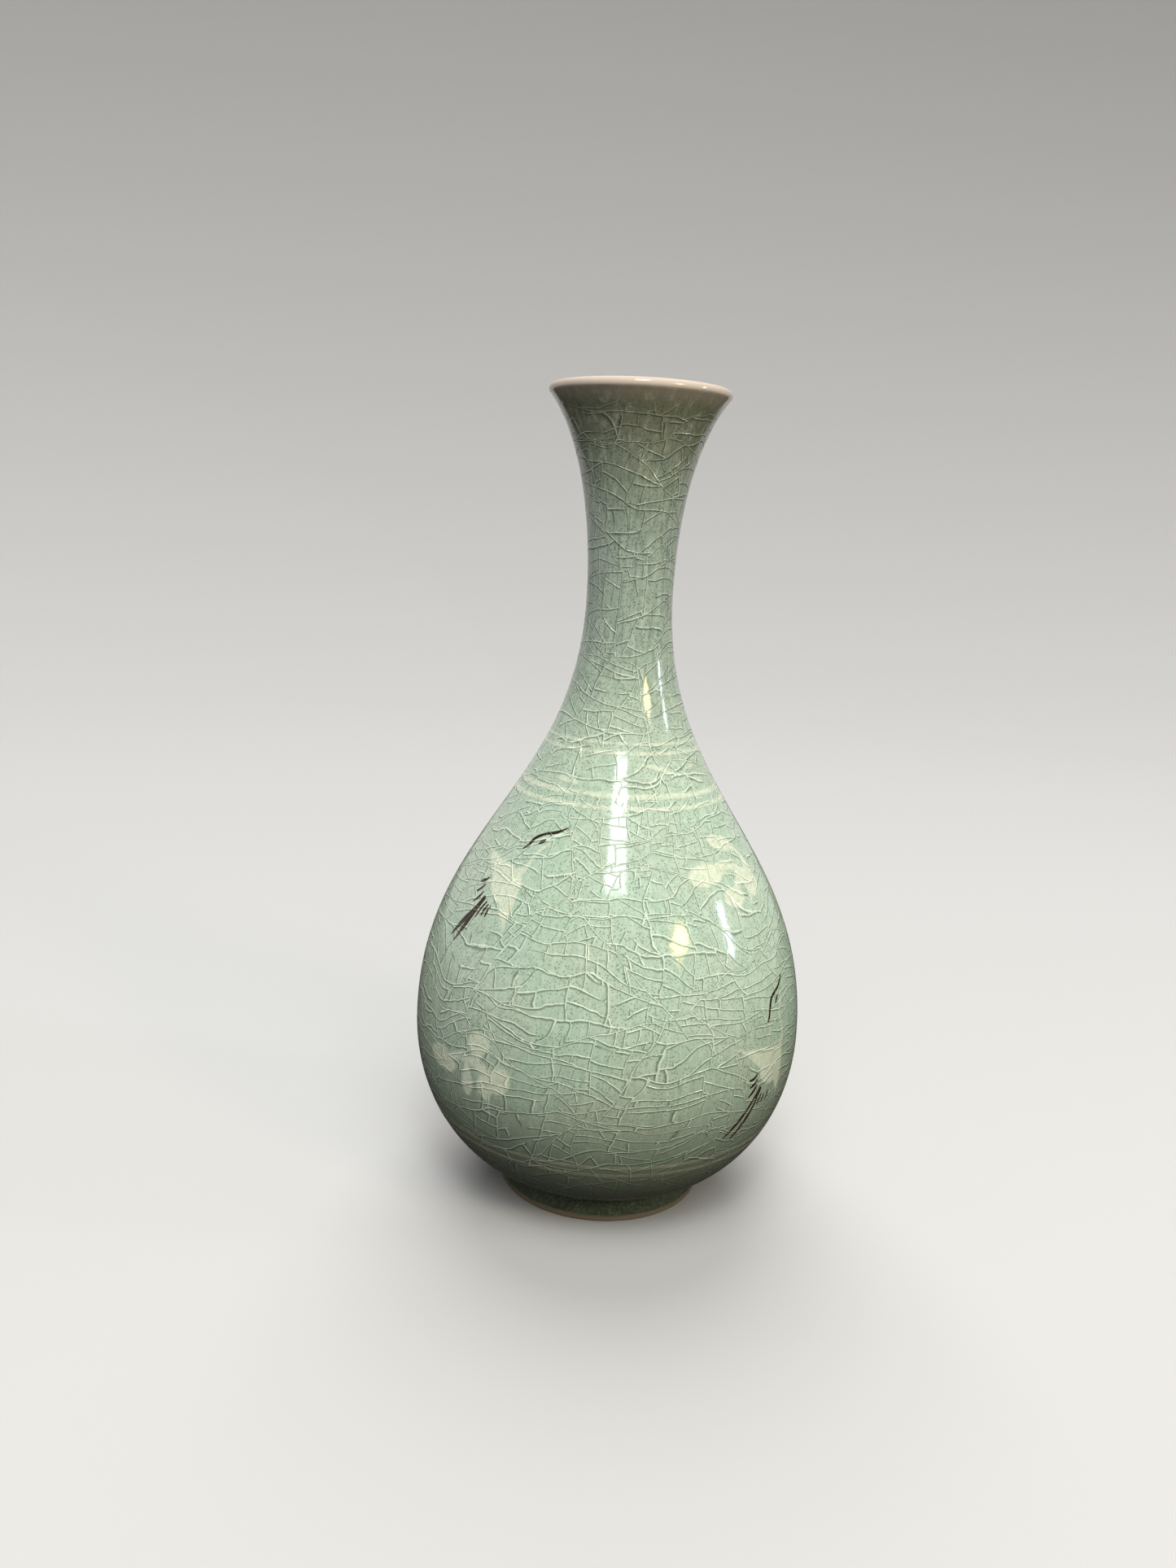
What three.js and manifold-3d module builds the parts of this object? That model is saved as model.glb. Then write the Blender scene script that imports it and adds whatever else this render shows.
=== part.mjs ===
// Bottle vase with inlaid decoration: one thrown clay body, its foot ring turned from the
// same clay, and white and black slip pieces let into shallow cuts in the wall. The axis is
// +Z, the origin is the middle of the resting face, and the front looks along -Y.
import * as THREE from "three";
import { mergeVertices } from "three/addons/utils/BufferGeometryUtils.js";
import Module from "manifold-3d";

const wasm = await Module();
wasm.setup();

// ---------------------------------------------------------------- driving dimensions, mm
const VASE_HEIGHT = 300;
const BELLY_RADIUS = 73.1;
const BELLY_HEIGHT = 66.4; // height of the widest place
const NECK_RADIUS = 15.7; // outside, at the narrowest place
const NECK_HEIGHT = 228; // height of the narrowest place
const MOUTH_RADIUS = 32.4; // outside of the lip
const FOOT_RADIUS = 38.5;
const FOOT_HEIGHT = 9;
const FOOT_RING_WIDTH = 7;
const FOOT_RECESS = 6; // depth of the hollow under the floor
const FOOT_EDGE = 0.8; // bevel on both edges of the foot ring
const WALL = 4;
const FLOOR = 6;
const FIELD_DEPTH = 1.2; // how far a broad white slip piece goes into the wall
const STROKE_DEPTH = 1.2; // the same for a black stroke
const LINE_DEPTH = 0.9; // the same for the lines that run round the vase
const CLEARANCE = 0.3; // between a slip piece and the sides and bottom of its cut
const STROKE_CLEARANCE = 0.5; // under a black stroke, whose bottom is flat between its corners

// Height of the middle and width of each line that runs round the vase.
const LINES = [
  { name: "neck_line_upper", height: 177.0, width: 1.3 },
  { name: "neck_line_lower", height: 173.9, width: 1.5 },
  { name: "shoulder_line_upper", height: 160.1, width: 2.1 },
  { name: "shoulder_line_lower", height: 156.2, width: 1.8 },
  { name: "foot_line_upper", height: 36.6, width: 1.5 },
  { name: "foot_line_lower", height: 32.8, width: 1.5 },
];

// How full the outline is: the handle of a curve as a share of its own rise, and the angle
// from level at which the belly leaves the foot and from upright at which the lip flares.
const FOOT_ANGLE = THREE.MathUtils.degToRad(19);
const MOUTH_ANGLE = THREE.MathUtils.degToRad(39);
const FULLNESS = {
  footOut: 0.33,
  bellyBelow: 0.51,
  bellyAbove: 0.442,
  neckBelow: 0.454,
  neckAbove: 0.517,
  mouthIn: 0.2,
};

// Fineness of the facets.
const SEGMENTS = 32;
const LOWER_STEPS = 6;
const SHOULDER_STEPS = 10;
const MOUTH_STEPS = 6;
const LIP_STEPS = 3;
const LOBE_POINTS = 9;
const TABLE_STEPS = 60; // steps of each outline curve in the table of heights

// How far a cutter reaches past the wall face, so that its flat ends stay clear of the cut.
const CUTTER_OUT = 14;
const CUTTER_IN = 9;
const SKIN_OUT = 2;

// ---------------------------------------------------------------- drawn motifs
// A brush stroke lists [across, up, half width] along its middle line, in mm on the wall
// face from the middle of its motif. A lobe gives its middle, half length, half width and
// turn in degrees.
const stroke = (...points) => ({ points });
const lobe = (across, up, halfLength, halfWidth, turn) => ({ across, up, halfLength, halfWidth, turn });

const HIGH_CRANE = {
  body: [
    stroke([-22.5, 11.2, 0.2], [-17.5, 10.2, 0.8], [-12.5, 7.6, 2.8], [-6.5, 4.6, 4.6], [0, 2, 5]),
    lobe(-3, 0.4, 7.6, 5.8, -38),
    stroke([0, 1, 5], [1.4, -5, 3.8], [2.8, -10, 2.2], [4.2, -14.5, 0.7], [4.8, -17, 0.2]),
    stroke([0, 4.5, 3], [3.4, 8.6, 1.4], [4.4, 12, 0.9], [5.6, 15, 0.8], [7.8, 18, 0.8], [9.6, 21.4, 0.4]),
  ],
  neck_line: [
    stroke(
      [-1.2, 15.1, 0.3], [0.6, 17, 0.5], [2, 19.7, 0.6],
      [5.4, 22, 0.5], [9.4, 23.3, 0.6], [12.8, 25.5, 0.2],
    ),
  ],
  eye_mark: [stroke([4.5, 18.1, 0.3], [5.5, 19, 0.7], [6.4, 19.9, 0.3])],
  wing_feather_1: [stroke([-15.5, -1.2, 0.3], [-13.3, -0.2, 0.6], [-11.4, 1.2, 0.2])],
  wing_feather_2: [stroke([-15.4, -4.9, 0.3], [-13.5, -3.3, 0.5], [-11.8, -1.5, 0.2])],
  wing_feather_3: [stroke([-15.2, -8.5, 0.3], [-13, -6.5, 0.5], [-11.4, -4, 0.2])],
  legs: [
    stroke([-9.8, -5.9, 0.6], [-12.6, -10.2, 0.4], [-17.3, -16.6, 0.9], [-22.2, -22.8, 0.3]),
    stroke([-9.6, -6.2, 0.5], [-11.4, -10.6, 0.4], [-15.2, -17.6, 0.8], [-19.3, -24.3, 0.3]),
  ],
  tail_feather_1: [stroke([-7.7, -7, 0.3], [-9.4, -10, 0.5], [-10.8, -13.4, 0.3])],
  tail_feather_2: [stroke([-6.4, -7.8, 0.3], [-7.5, -9.9, 0.5], [-8.1, -12, 0.3])],
  tail_feather_3: [stroke([-5, -8, 0.3], [-5.7, -10, 0.5], [-6, -11.9, 0.3])],
};

const LOW_CRANE = {
  body: [
    stroke([-21, 11, 0.2], [-15.5, 9, 0.8], [-10.5, 6.8, 2], [-5, 4.2, 3.6], [1, 2, 5]),
    lobe(1.8, -0.4, 7.8, 7, 0),
    stroke([4, 0.5, 4.6], [6.2, -4.5, 3.2], [7.2, -9, 1.8], [8, -13, 0.6], [8.2, -15, 0.2]),
    stroke(
      [4.5, 3, 3], [8.4, 6.4, 1.5], [9.2, 10, 1], [8.2, 13.4, 0.8],
      [7.4, 17, 0.8], [9, 21.4, 0.7], [10, 24.4, 0.4],
    ),
  ],
  neck_line: [
    stroke(
      [-0.8, 16.4, 0.6], [0.1, 18.2, 0.5], [1, 21, 0.6],
      [2.8, 24.2, 0.6], [8.6, 26.9, 0.5], [11.9, 29.9, 0.4],
    ),
  ],
  eye_mark: [stroke([5.2, 21.7, 0.4], [6.1, 22.8, 0.6], [7, 23.9, 0.3])],
  wing_feather_1: [stroke([-11, -2.7, 0.4], [-9, -2.5, 0.5], [-6.9, -1.1, 0.3])],
  wing_feather_2: [stroke([-10.2, -5.5, 0.4], [-8.4, -4.6, 0.6], [-6.8, -3.4, 0.3])],
  wing_feather_3: [stroke([-10.5, -9, 0.4], [-8.6, -7.4, 0.6], [-6.8, -5.4, 0.3])],
  legs: [
    stroke([-4.7, -7.3, 0.6], [-8, -11.4, 0.5], [-13, -18, 0.7], [-18.3, -23.6, 0.3]),
    stroke([-4.5, -7.6, 0.5], [-6.8, -13.6, 0.5], [-10.6, -20, 0.7], [-14.3, -24.9, 0.4]),
  ],
  tail_feather_1: [stroke([-3.2, -10, 0.3], [-4, -11.8, 0.6], [-4.8, -13.5, 0.3])],
  tail_feather_2: [stroke([-1.4, -10.5, 0.3], [-1.9, -11.8, 0.6], [-2.3, -13.2, 0.3])],
  tail_feather_3: [stroke([1.3, -10.2, 0.3], [0.8, -11.6, 0.5], [0.2, -13, 0.3])],
};

const HIGH_CLOUD = [
  lobe(-8.6, 1.2, 8.6, 3.7, 8),
  stroke([-3, 1.6, 3], [4, 2.4, 2.8], [9.4, -1.6, 3.2], [13.6, -4, 4]),
  lobe(4.8, 11.4, 7.8, 2.9, -22),
  stroke([10.4, 8.8, 1.8], [14.6, 5.4, 1.9], [16, 0, 2.6]),
  lobe(15.4, -5, 5.6, 5.6, 0),
  lobe(1.8, -8.4, 6, 3.9, 0),
  stroke([3.6, -6, 2], [8.6, -2, 2.4]),
  stroke([12.4, -8, 1.6], [10.9, -12, 0.9], [11.3, -16, 0.7], [14.4, -20.2, 0.2]),
];

const LOW_CLOUD = [
  lobe(-14.6, -1.8, 8.4, 4.6, -5),
  stroke([-10, 0.6, 1.8], [-3.6, 2.6, 1.7], [2.5, 2.4, 1.8], [10.4, 0, 2.2]),
  stroke([2.8, 2.6, 1.8], [4.2, 6.4, 2.4]),
  lobe(4.4, 9.6, 5.2, 4.3, 15),
  lobe(14.2, -1.2, 5.8, 4.5, 62),
  stroke([-0.4, 2.4, 1.2], [-0.4, -2.6, 2.2], [-0.4, -6.4, 3.1], [-0.5, -9.6, 1.8]),
  stroke([9.6, -0.4, 2.6], [8.2, -4.6, 4], [8.4, -7.6, 2.6], [9.4, -11.6, 0.8], [9, -16, 0.2]),
];

const LONG_LEAF = [stroke([-6, 0.2, 0.2], [-3, 0.6, 1], [1, 0.4, 1.5], [5, -0.6, 0.6])];
const COMMA = [stroke([-6.5, 1.8, 0.3], [-2.5, 1.4, 1.1], [2.5, -0.2, 1.3], [6.5, -2, 0.3])];
const SHORT_COMMA = [stroke([-4, -0.6, 0.2], [0, 0.6, 1], [4, 0.2, 0.3])];

// Where the motifs of one side stand: degrees from the front, height of the middle, and the
// radius of the wall that the motif was drawn for. On a wider or narrower wall a motif keeps
// its share of the way round.
const SIDE_MOTIFS = [
  { crane: HIGH_CRANE, angle: -40, height: 127, drawnRadius: 56.4 },
  { cloud: HIGH_CLOUD, angle: 47, height: 134, drawnRadius: 52.3 },
  { cloud: LOW_CLOUD, angle: -40, height: 66, drawnRadius: 73.1 },
  { crane: LOW_CRANE, angle: 53, height: 68, drawnRadius: 73.1 },
  { leaf: LONG_LEAF, angle: -32.5, height: 163.3, drawnRadius: 34 },
  { leaf: COMMA, angle: 26, height: 168.4, drawnRadius: 31.1 },
  { leaf: SHORT_COMMA, angle: 53, height: 168.6, drawnRadius: 31 },
];
const SIDE_TURNS = [0, 180]; // the same side is drawn twice, half a turn apart

// ---------------------------------------------------------------- finishes
const GLAZED_CLAY = { color: 0xa9bca5, roughness: 0.22, metalness: 0 };
const WHITE_SLIP = { color: 0xd8dcc9, roughness: 0.24, metalness: 0 };
const BLACK_SLIP = { color: 0x2b241f, roughness: 0.26, metalness: 0 };

// ---------------------------------------------------------------- solids and meshes
// A closed geometry as a solid that can be joined and cut.
function solidOf(geometry) {
  const bare = geometry.clone();
  bare.deleteAttribute("normal");
  bare.deleteAttribute("uv");
  const merged = mergeVertices(bare, 1e-4);
  const vertProperties = merged.attributes.position.array;
  const triVerts = new Uint32Array(merged.index.array);
  return new wasm.Manifold(new wasm.Mesh({ numProp: 3, vertProperties, triVerts }));
}

// A solid as a named mesh with a material of its own.
function meshOf(name, solid, finish) {
  const { vertProperties, triVerts } = solid.getMesh();
  const geometry = new THREE.BufferGeometry();
  geometry.setAttribute("position", new THREE.BufferAttribute(vertProperties, 3));
  geometry.setIndex(new THREE.BufferAttribute(triVerts, 1));
  geometry.computeVertexNormals();
  const mesh = new THREE.Mesh(geometry, new THREE.MeshStandardMaterial(finish));
  mesh.name = name;
  return mesh;
}

// A profile of [radius, height] points turned about the vase's axis.
function turned(profile) {
  const geometry = new THREE.LatheGeometry(profile, SEGMENTS);
  geometry.rotateX(Math.PI / 2);
  return solidOf(geometry);
}

// ---------------------------------------------------------------- outline of the vase
const LIP_RADIUS = WALL / 2;
const LIP_CENTRE = new THREE.Vector2(MOUTH_RADIUS - LIP_RADIUS, VASE_HEIGHT - LIP_RADIUS);
const FLOOR_TOP = FOOT_RECESS + FLOOR;

const fromTo = (start, direction, length) => start.clone().addScaledVector(direction, length);

// The three curves of the outer face, from the foot ring up to the lip.
function outlineCurves() {
  const up = new THREE.Vector2(0, 1);
  const foot = new THREE.Vector2(FOOT_RADIUS, FOOT_HEIGHT);
  const belly = new THREE.Vector2(BELLY_RADIUS, BELLY_HEIGHT);
  const neck = new THREE.Vector2(NECK_RADIUS, NECK_HEIGHT);
  const flare = new THREE.Vector2(Math.sin(MOUTH_ANGLE), Math.cos(MOUTH_ANGLE));
  const outward = new THREE.Vector2(Math.cos(MOUTH_ANGLE), -Math.sin(MOUTH_ANGLE));
  const mouth = fromTo(LIP_CENTRE, outward, LIP_RADIUS);
  const footOut = new THREE.Vector2(Math.cos(FOOT_ANGLE), Math.sin(FOOT_ANGLE));
  const lowerRise = belly.y - foot.y;
  const shoulderRise = neck.y - belly.y;
  const mouthRise = mouth.y - neck.y;
  return {
    lower: new THREE.CubicBezierCurve(
      foot,
      fromTo(foot, footOut, FULLNESS.footOut * lowerRise),
      fromTo(belly, up, -FULLNESS.bellyBelow * lowerRise),
      belly,
    ),
    shoulder: new THREE.CubicBezierCurve(
      belly,
      fromTo(belly, up, FULLNESS.bellyAbove * shoulderRise),
      fromTo(neck, up, -FULLNESS.neckBelow * shoulderRise),
      neck,
    ),
    mouth: new THREE.CubicBezierCurve(
      neck,
      fromTo(neck, up, FULLNESS.neckAbove * mouthRise),
      fromTo(mouth, flare, -FULLNESS.mouthIn * mouthRise),
      mouth,
    ),
  };
}

const CURVES = outlineCurves();

// Points of the outer face with the given steps on each curve.
function outerPoints(lowerSteps, shoulderSteps, mouthSteps) {
  return [
    ...CURVES.lower.getPoints(lowerSteps),
    ...CURVES.shoulder.getPoints(shoulderSteps).slice(1),
    ...CURVES.mouth.getPoints(mouthSteps).slice(1),
  ];
}

// The points moved square to the outline, inwards where distance is positive.
function movedIn(points, distance) {
  return points.map((point, i) => {
    const before = points[Math.max(i - 1, 0)];
    const after = points[Math.min(i + 1, points.length - 1)];
    const along = after.clone().sub(before).normalize();
    return new THREE.Vector2(point.x - along.y * distance, point.y + along.x * distance);
  });
}

const WALL_FACE = outerPoints(LOWER_STEPS, SHOULDER_STEPS, MOUTH_STEPS);

// The inner face from the lip down to the floor, and along the floor to the axis. Where the
// wall ends above the floor, its last facet runs on down to it.
function innerPoints() {
  const down = movedIn(WALL_FACE, WALL).reverse();
  const crossing = down.findIndex((point) => point.y <= FLOOR_TOP);
  const meets = crossing < 0 ? down.length - 1 : crossing;
  const above = down[meets - 1];
  const below = down[meets];
  const share = (above.y - FLOOR_TOP) / (above.y - below.y);
  return [...down.slice(1, meets), above.clone().lerp(below, share), new THREE.Vector2(0, FLOOR_TOP)];
}

// The whole body before the cuts: underside, foot ring, outer face, round lip, inside.
function plainBody() {
  const ringInside = FOOT_RADIUS - FOOT_RING_WIDTH;
  const underside = [
    new THREE.Vector2(0, FOOT_RECESS),
    new THREE.Vector2(ringInside, FOOT_RECESS),
    new THREE.Vector2(ringInside, FOOT_EDGE),
    new THREE.Vector2(ringInside + FOOT_EDGE, 0),
    new THREE.Vector2(FOOT_RADIUS - FOOT_EDGE, 0),
    new THREE.Vector2(FOOT_RADIUS, FOOT_EDGE),
  ];
  return turned([...underside, ...WALL_FACE, ...lipPoints(), ...innerPoints()]);
}

// The round lip from the end of the outer face over its top to the start of the inner face.
function lipPoints() {
  const { x, y } = LIP_CENTRE;
  const arc = (from, to) => new THREE.EllipseCurve(x, y, LIP_RADIUS, LIP_RADIUS, from, to);
  const outside = arc(-MOUTH_ANGLE, Math.PI / 2).getPoints(LIP_STEPS);
  const inside = arc(Math.PI / 2, Math.PI - MOUTH_ANGLE).getPoints(1);
  return [...outside.slice(1), ...inside.slice(1)];
}

// ---------------------------------------------------------------- places on the outer face
// Length along the outline from the foot, height and radius, in fine steps.
function faceTable() {
  const points = outerPoints(TABLE_STEPS, TABLE_STEPS, TABLE_STEPS);
  let length = 0;
  return points.map((point, i) => {
    length += i ? point.distanceTo(points[i - 1]) : 0;
    return { length, height: point.y, radius: point.x };
  });
}

const FACE = faceTable();

// The row of the table where the named column has the given value.
function faceWhere(column, value) {
  const next = FACE.findIndex((row, i) => i > 0 && row[column] >= value);
  const [a, b] = [FACE[next - 1], FACE[next]];
  const share = (value - a[column]) / (b[column] - a[column]);
  const mix = (key) => THREE.MathUtils.lerp(a[key], b[key], share);
  return { length: mix("length"), height: mix("height"), radius: mix("radius") };
}

// A closed skin of the wall: its outer side stands off the wall face, its inner side lies deeper.
function wallSkin(standOff, depth) {
  const outside = movedIn(WALL_FACE, -standOff).slice(1, -1);
  const inside = movedIn(WALL_FACE, depth).slice(1, -1).reverse();
  return turned([...outside, ...inside, outside[0]]);
}

// A ring that follows the wall face between two heights.
function wallRing(low, high, standOff, depth) {
  const rows = WALL_FACE.filter((point) => point.y > low && point.y < high);
  const ends = [low, high].map((height) => new THREE.Vector2(faceRadius(height), height));
  const face = [ends[0], ...rows, ends[1]];
  const outside = face.map((point) => new THREE.Vector2(point.x + standOff, point.y));
  const inside = face.map((point) => new THREE.Vector2(point.x - depth, point.y)).reverse();
  return turned([...outside, ...inside, outside[0]]);
}

// Radius of the faceted wall face at a height.
function faceRadius(height) {
  const next = WALL_FACE.findIndex((point) => point.y >= height);
  const [a, b] = [WALL_FACE[next - 1], WALL_FACE[next]];
  return THREE.MathUtils.mapLinear(height, a.y, b.y, a.x, b.x);
}

// ---------------------------------------------------------------- outlines of the drawn pieces
// The closed outline of a stroke, grown by a margin all round.
function strokeOutline({ points }, margin) {
  const last = points.length - 1;
  const middle = points.map(([across, up]) => new THREE.Vector2(across, up));
  const side = (sign) => (point, i) => {
    const ahead = middle[Math.min(i + 1, last)].clone().sub(middle[Math.max(i - 1, 0)]).normalize();
    const reach = sign * (points[i][2] + margin);
    const past = i === 0 ? -margin : i === last ? margin : 0;
    return new THREE.Vector2(
      point.x - ahead.y * reach + ahead.x * past,
      point.y + ahead.x * reach + ahead.y * past,
    );
  };
  return [...middle.map(side(-1)), ...middle.map(side(1)).reverse()];
}

// The outline of a lobe, grown by a margin all round.
function lobeOutline({ across, up, halfLength, halfWidth, turn }, margin) {
  const angle = THREE.MathUtils.degToRad(turn);
  const round = new THREE.EllipseCurve(
    across, up, halfLength + margin, halfWidth + margin, 0, 2 * Math.PI, false, angle,
  );
  return round.getPoints(LOBE_POINTS).slice(0, -1);
}

// A drawn shape spread over the wall face at its place, from outside the face to a depth in it.
function shapeCutter(shape, place, margin, depth) {
  const outline = shape.points ? strokeOutline(shape, margin) : lobeOutline(shape, margin);
  const geometry = new THREE.ExtrudeGeometry(new THREE.Shape(outline), { depth: 1, bevelEnabled: false });
  const position = geometry.attributes.position;
  const middle = faceWhere("height", place.height);
  const widened = middle.radius / place.drawnRadius;
  for (let i = 0; i < position.count; i++) {
    const { height, radius } = faceWhere("length", middle.length + position.getY(i));
    const angle = THREE.MathUtils.degToRad(place.angle) + (position.getX(i) * widened) / radius;
    const reach = radius + (position.getZ(i) > 0.5 ? CUTTER_OUT : -depth);
    position.setXYZ(i, reach * Math.sin(angle), -reach * Math.cos(angle), height);
  }
  return solidOf(geometry);
}

// The shapes of one piece joined into one cutter.
function pieceCutter({ shapes, place }, margin, depth) {
  const cutters = shapes.map((shape) => shapeCutter(shape, place, margin, depth));
  return cutters.reduce((all, cutter) => all.add(cutter));
}

// ---------------------------------------------------------------- assembly
// Every drawn piece of the vase with its name, shapes, place and finish.
function drawnPieces() {
  const pieces = [];
  const counts = { crane: 0, cloud: 0, leaf: 0 };
  for (const turn of SIDE_TURNS) {
    for (const motif of SIDE_MOTIFS) {
      const { angle, height, drawnRadius } = motif;
      const place = { angle: angle + turn, height, drawnRadius };
      const kind = Object.keys(counts).find((key) => motif[key]);
      counts[kind] += 1;
      const name = `${kind}_${counts[kind]}`;
      const parts = kind === "crane" ? Object.entries(motif.crane) : [["", motif[kind]]];
      for (const [part, shapes] of parts) {
        const finish = part === "" || part === "body" ? WHITE_SLIP : BLACK_SLIP;
        pieces.push({ name: part ? `${name}_${part}` : name, shapes, place, finish });
      }
    }
  }
  return pieces;
}

// One drawn piece and its cut. A white piece is broad, so its bottom follows the wall face;
// a black stroke is narrow and has a flat bottom.
function inlay(piece, wall, skins) {
  if (piece.finish === WHITE_SLIP) {
    return {
      slip: skins.slip.intersect(pieceCutter(piece, 0, CUTTER_IN)),
      cut: skins.cut.intersect(pieceCutter(piece, CLEARANCE, CUTTER_IN)),
    };
  }
  return {
    slip: wall.intersect(pieceCutter(piece, 0, STROKE_DEPTH)),
    cut: pieceCutter(piece, CLEARANCE, STROKE_DEPTH + STROKE_CLEARANCE),
  };
}

function buildVase() {
  const vase = new THREE.Group();
  const wall = plainBody();
  const skins = { slip: wallSkin(0, FIELD_DEPTH), cut: wallSkin(SKIN_OUT, FIELD_DEPTH + CLEARANCE) };
  let body = wall;

  for (const { name, height, width } of LINES) {
    const [low, high] = [height - width / 2, height + width / 2];
    body = body.subtract(wallRing(low - CLEARANCE, high + CLEARANCE, SKIN_OUT, LINE_DEPTH + CLEARANCE));
    vase.add(meshOf(name, wallRing(low, high, 0, LINE_DEPTH), WHITE_SLIP));
  }
  for (const piece of drawnPieces()) {
    const { slip, cut } = inlay(piece, wall, skins);
    body = body.subtract(cut);
    vase.add(meshOf(piece.name, slip, piece.finish));
  }
  vase.add(meshOf("vase_body", body, GLAZED_CLAY));
  return vase;
}

export default buildVase();
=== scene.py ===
"""Bottle vase of thrown clay with slip inlay under a crackled glaze.

The vase stands at the origin with its axis along +Z and its front along -Y. Lengths are in
metres. The drawings of the inlaid motifs are in millimetres on the wall face.
"""

import logging
import math
from dataclasses import dataclass, field
from enum import Enum

import bmesh
import bpy
import numpy as np
from mathutils import Matrix, Quaternion, Vector


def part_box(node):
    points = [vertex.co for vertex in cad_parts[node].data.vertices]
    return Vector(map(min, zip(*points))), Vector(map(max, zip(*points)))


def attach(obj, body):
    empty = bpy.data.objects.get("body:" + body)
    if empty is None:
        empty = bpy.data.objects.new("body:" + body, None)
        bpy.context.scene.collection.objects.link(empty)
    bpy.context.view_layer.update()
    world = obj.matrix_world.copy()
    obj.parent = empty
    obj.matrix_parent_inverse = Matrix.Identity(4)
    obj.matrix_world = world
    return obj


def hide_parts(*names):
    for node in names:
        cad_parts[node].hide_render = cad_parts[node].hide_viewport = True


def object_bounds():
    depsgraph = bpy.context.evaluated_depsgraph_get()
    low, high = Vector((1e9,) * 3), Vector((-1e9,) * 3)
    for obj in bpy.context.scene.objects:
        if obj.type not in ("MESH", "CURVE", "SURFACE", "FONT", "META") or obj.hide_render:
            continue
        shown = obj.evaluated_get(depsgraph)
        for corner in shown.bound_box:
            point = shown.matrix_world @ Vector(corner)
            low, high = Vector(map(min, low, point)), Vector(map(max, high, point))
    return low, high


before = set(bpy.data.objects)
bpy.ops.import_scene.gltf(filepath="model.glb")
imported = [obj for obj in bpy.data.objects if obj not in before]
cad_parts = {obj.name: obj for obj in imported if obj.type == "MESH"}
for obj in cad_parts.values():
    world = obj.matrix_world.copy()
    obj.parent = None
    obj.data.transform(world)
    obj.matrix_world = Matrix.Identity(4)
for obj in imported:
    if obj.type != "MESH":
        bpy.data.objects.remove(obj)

CAD_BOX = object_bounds()
MM = 0.001
WELD = 1e-6
SHARP_EDGE = 50
AIM_SHARE = 0.47
LOG = logging.getLogger("bottle_vase")

Colour = tuple[float, float, float, float]


class Slot(Enum):
    """Finish slots of the record."""

    GLAZED_CLAY = "glazed_clay"
    WHITE_SLIP = "white_slip"
    BLACK_SLIP = "black_slip"


# ------------------------------------------------------------------ wall of the vase
def bezier(corners: list[np.ndarray], steps: int) -> np.ndarray:
    """Points along a cubic curve.

    Args:
        corners: Start, two handles and end, each as radius and height.
        steps: How many steps the curve is divided into.

    Returns:
        One row of radius and height for each point, ends included.
    """
    t = np.linspace(0.0, 1.0, steps + 1)[:, None]
    start, first, second, end = corners
    return (
        (1 - t) ** 3 * start
        + 3 * t * (1 - t) ** 2 * first
        + 3 * t**2 * (1 - t) * second
        + t**3 * end
    )


def arc(centre: tuple[float, float], radius: float, start: float, end: float, steps: int) -> np.ndarray:
    """Points along a circular arc in the plane of radius and height.

    Args:
        centre: Radius and height of the arc's centre.
        radius: Radius of the arc.
        start: First angle in degrees, from straight outwards, turning upwards.
        end: Last angle in degrees.
        steps: How many steps the arc is divided into.

    Returns:
        One row of radius and height for each point, ends included.
    """
    turn = np.radians(np.linspace(start, end, steps + 1))
    return np.column_stack([centre[0] + radius * np.cos(turn), centre[1] + radius * np.sin(turn)])


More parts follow.
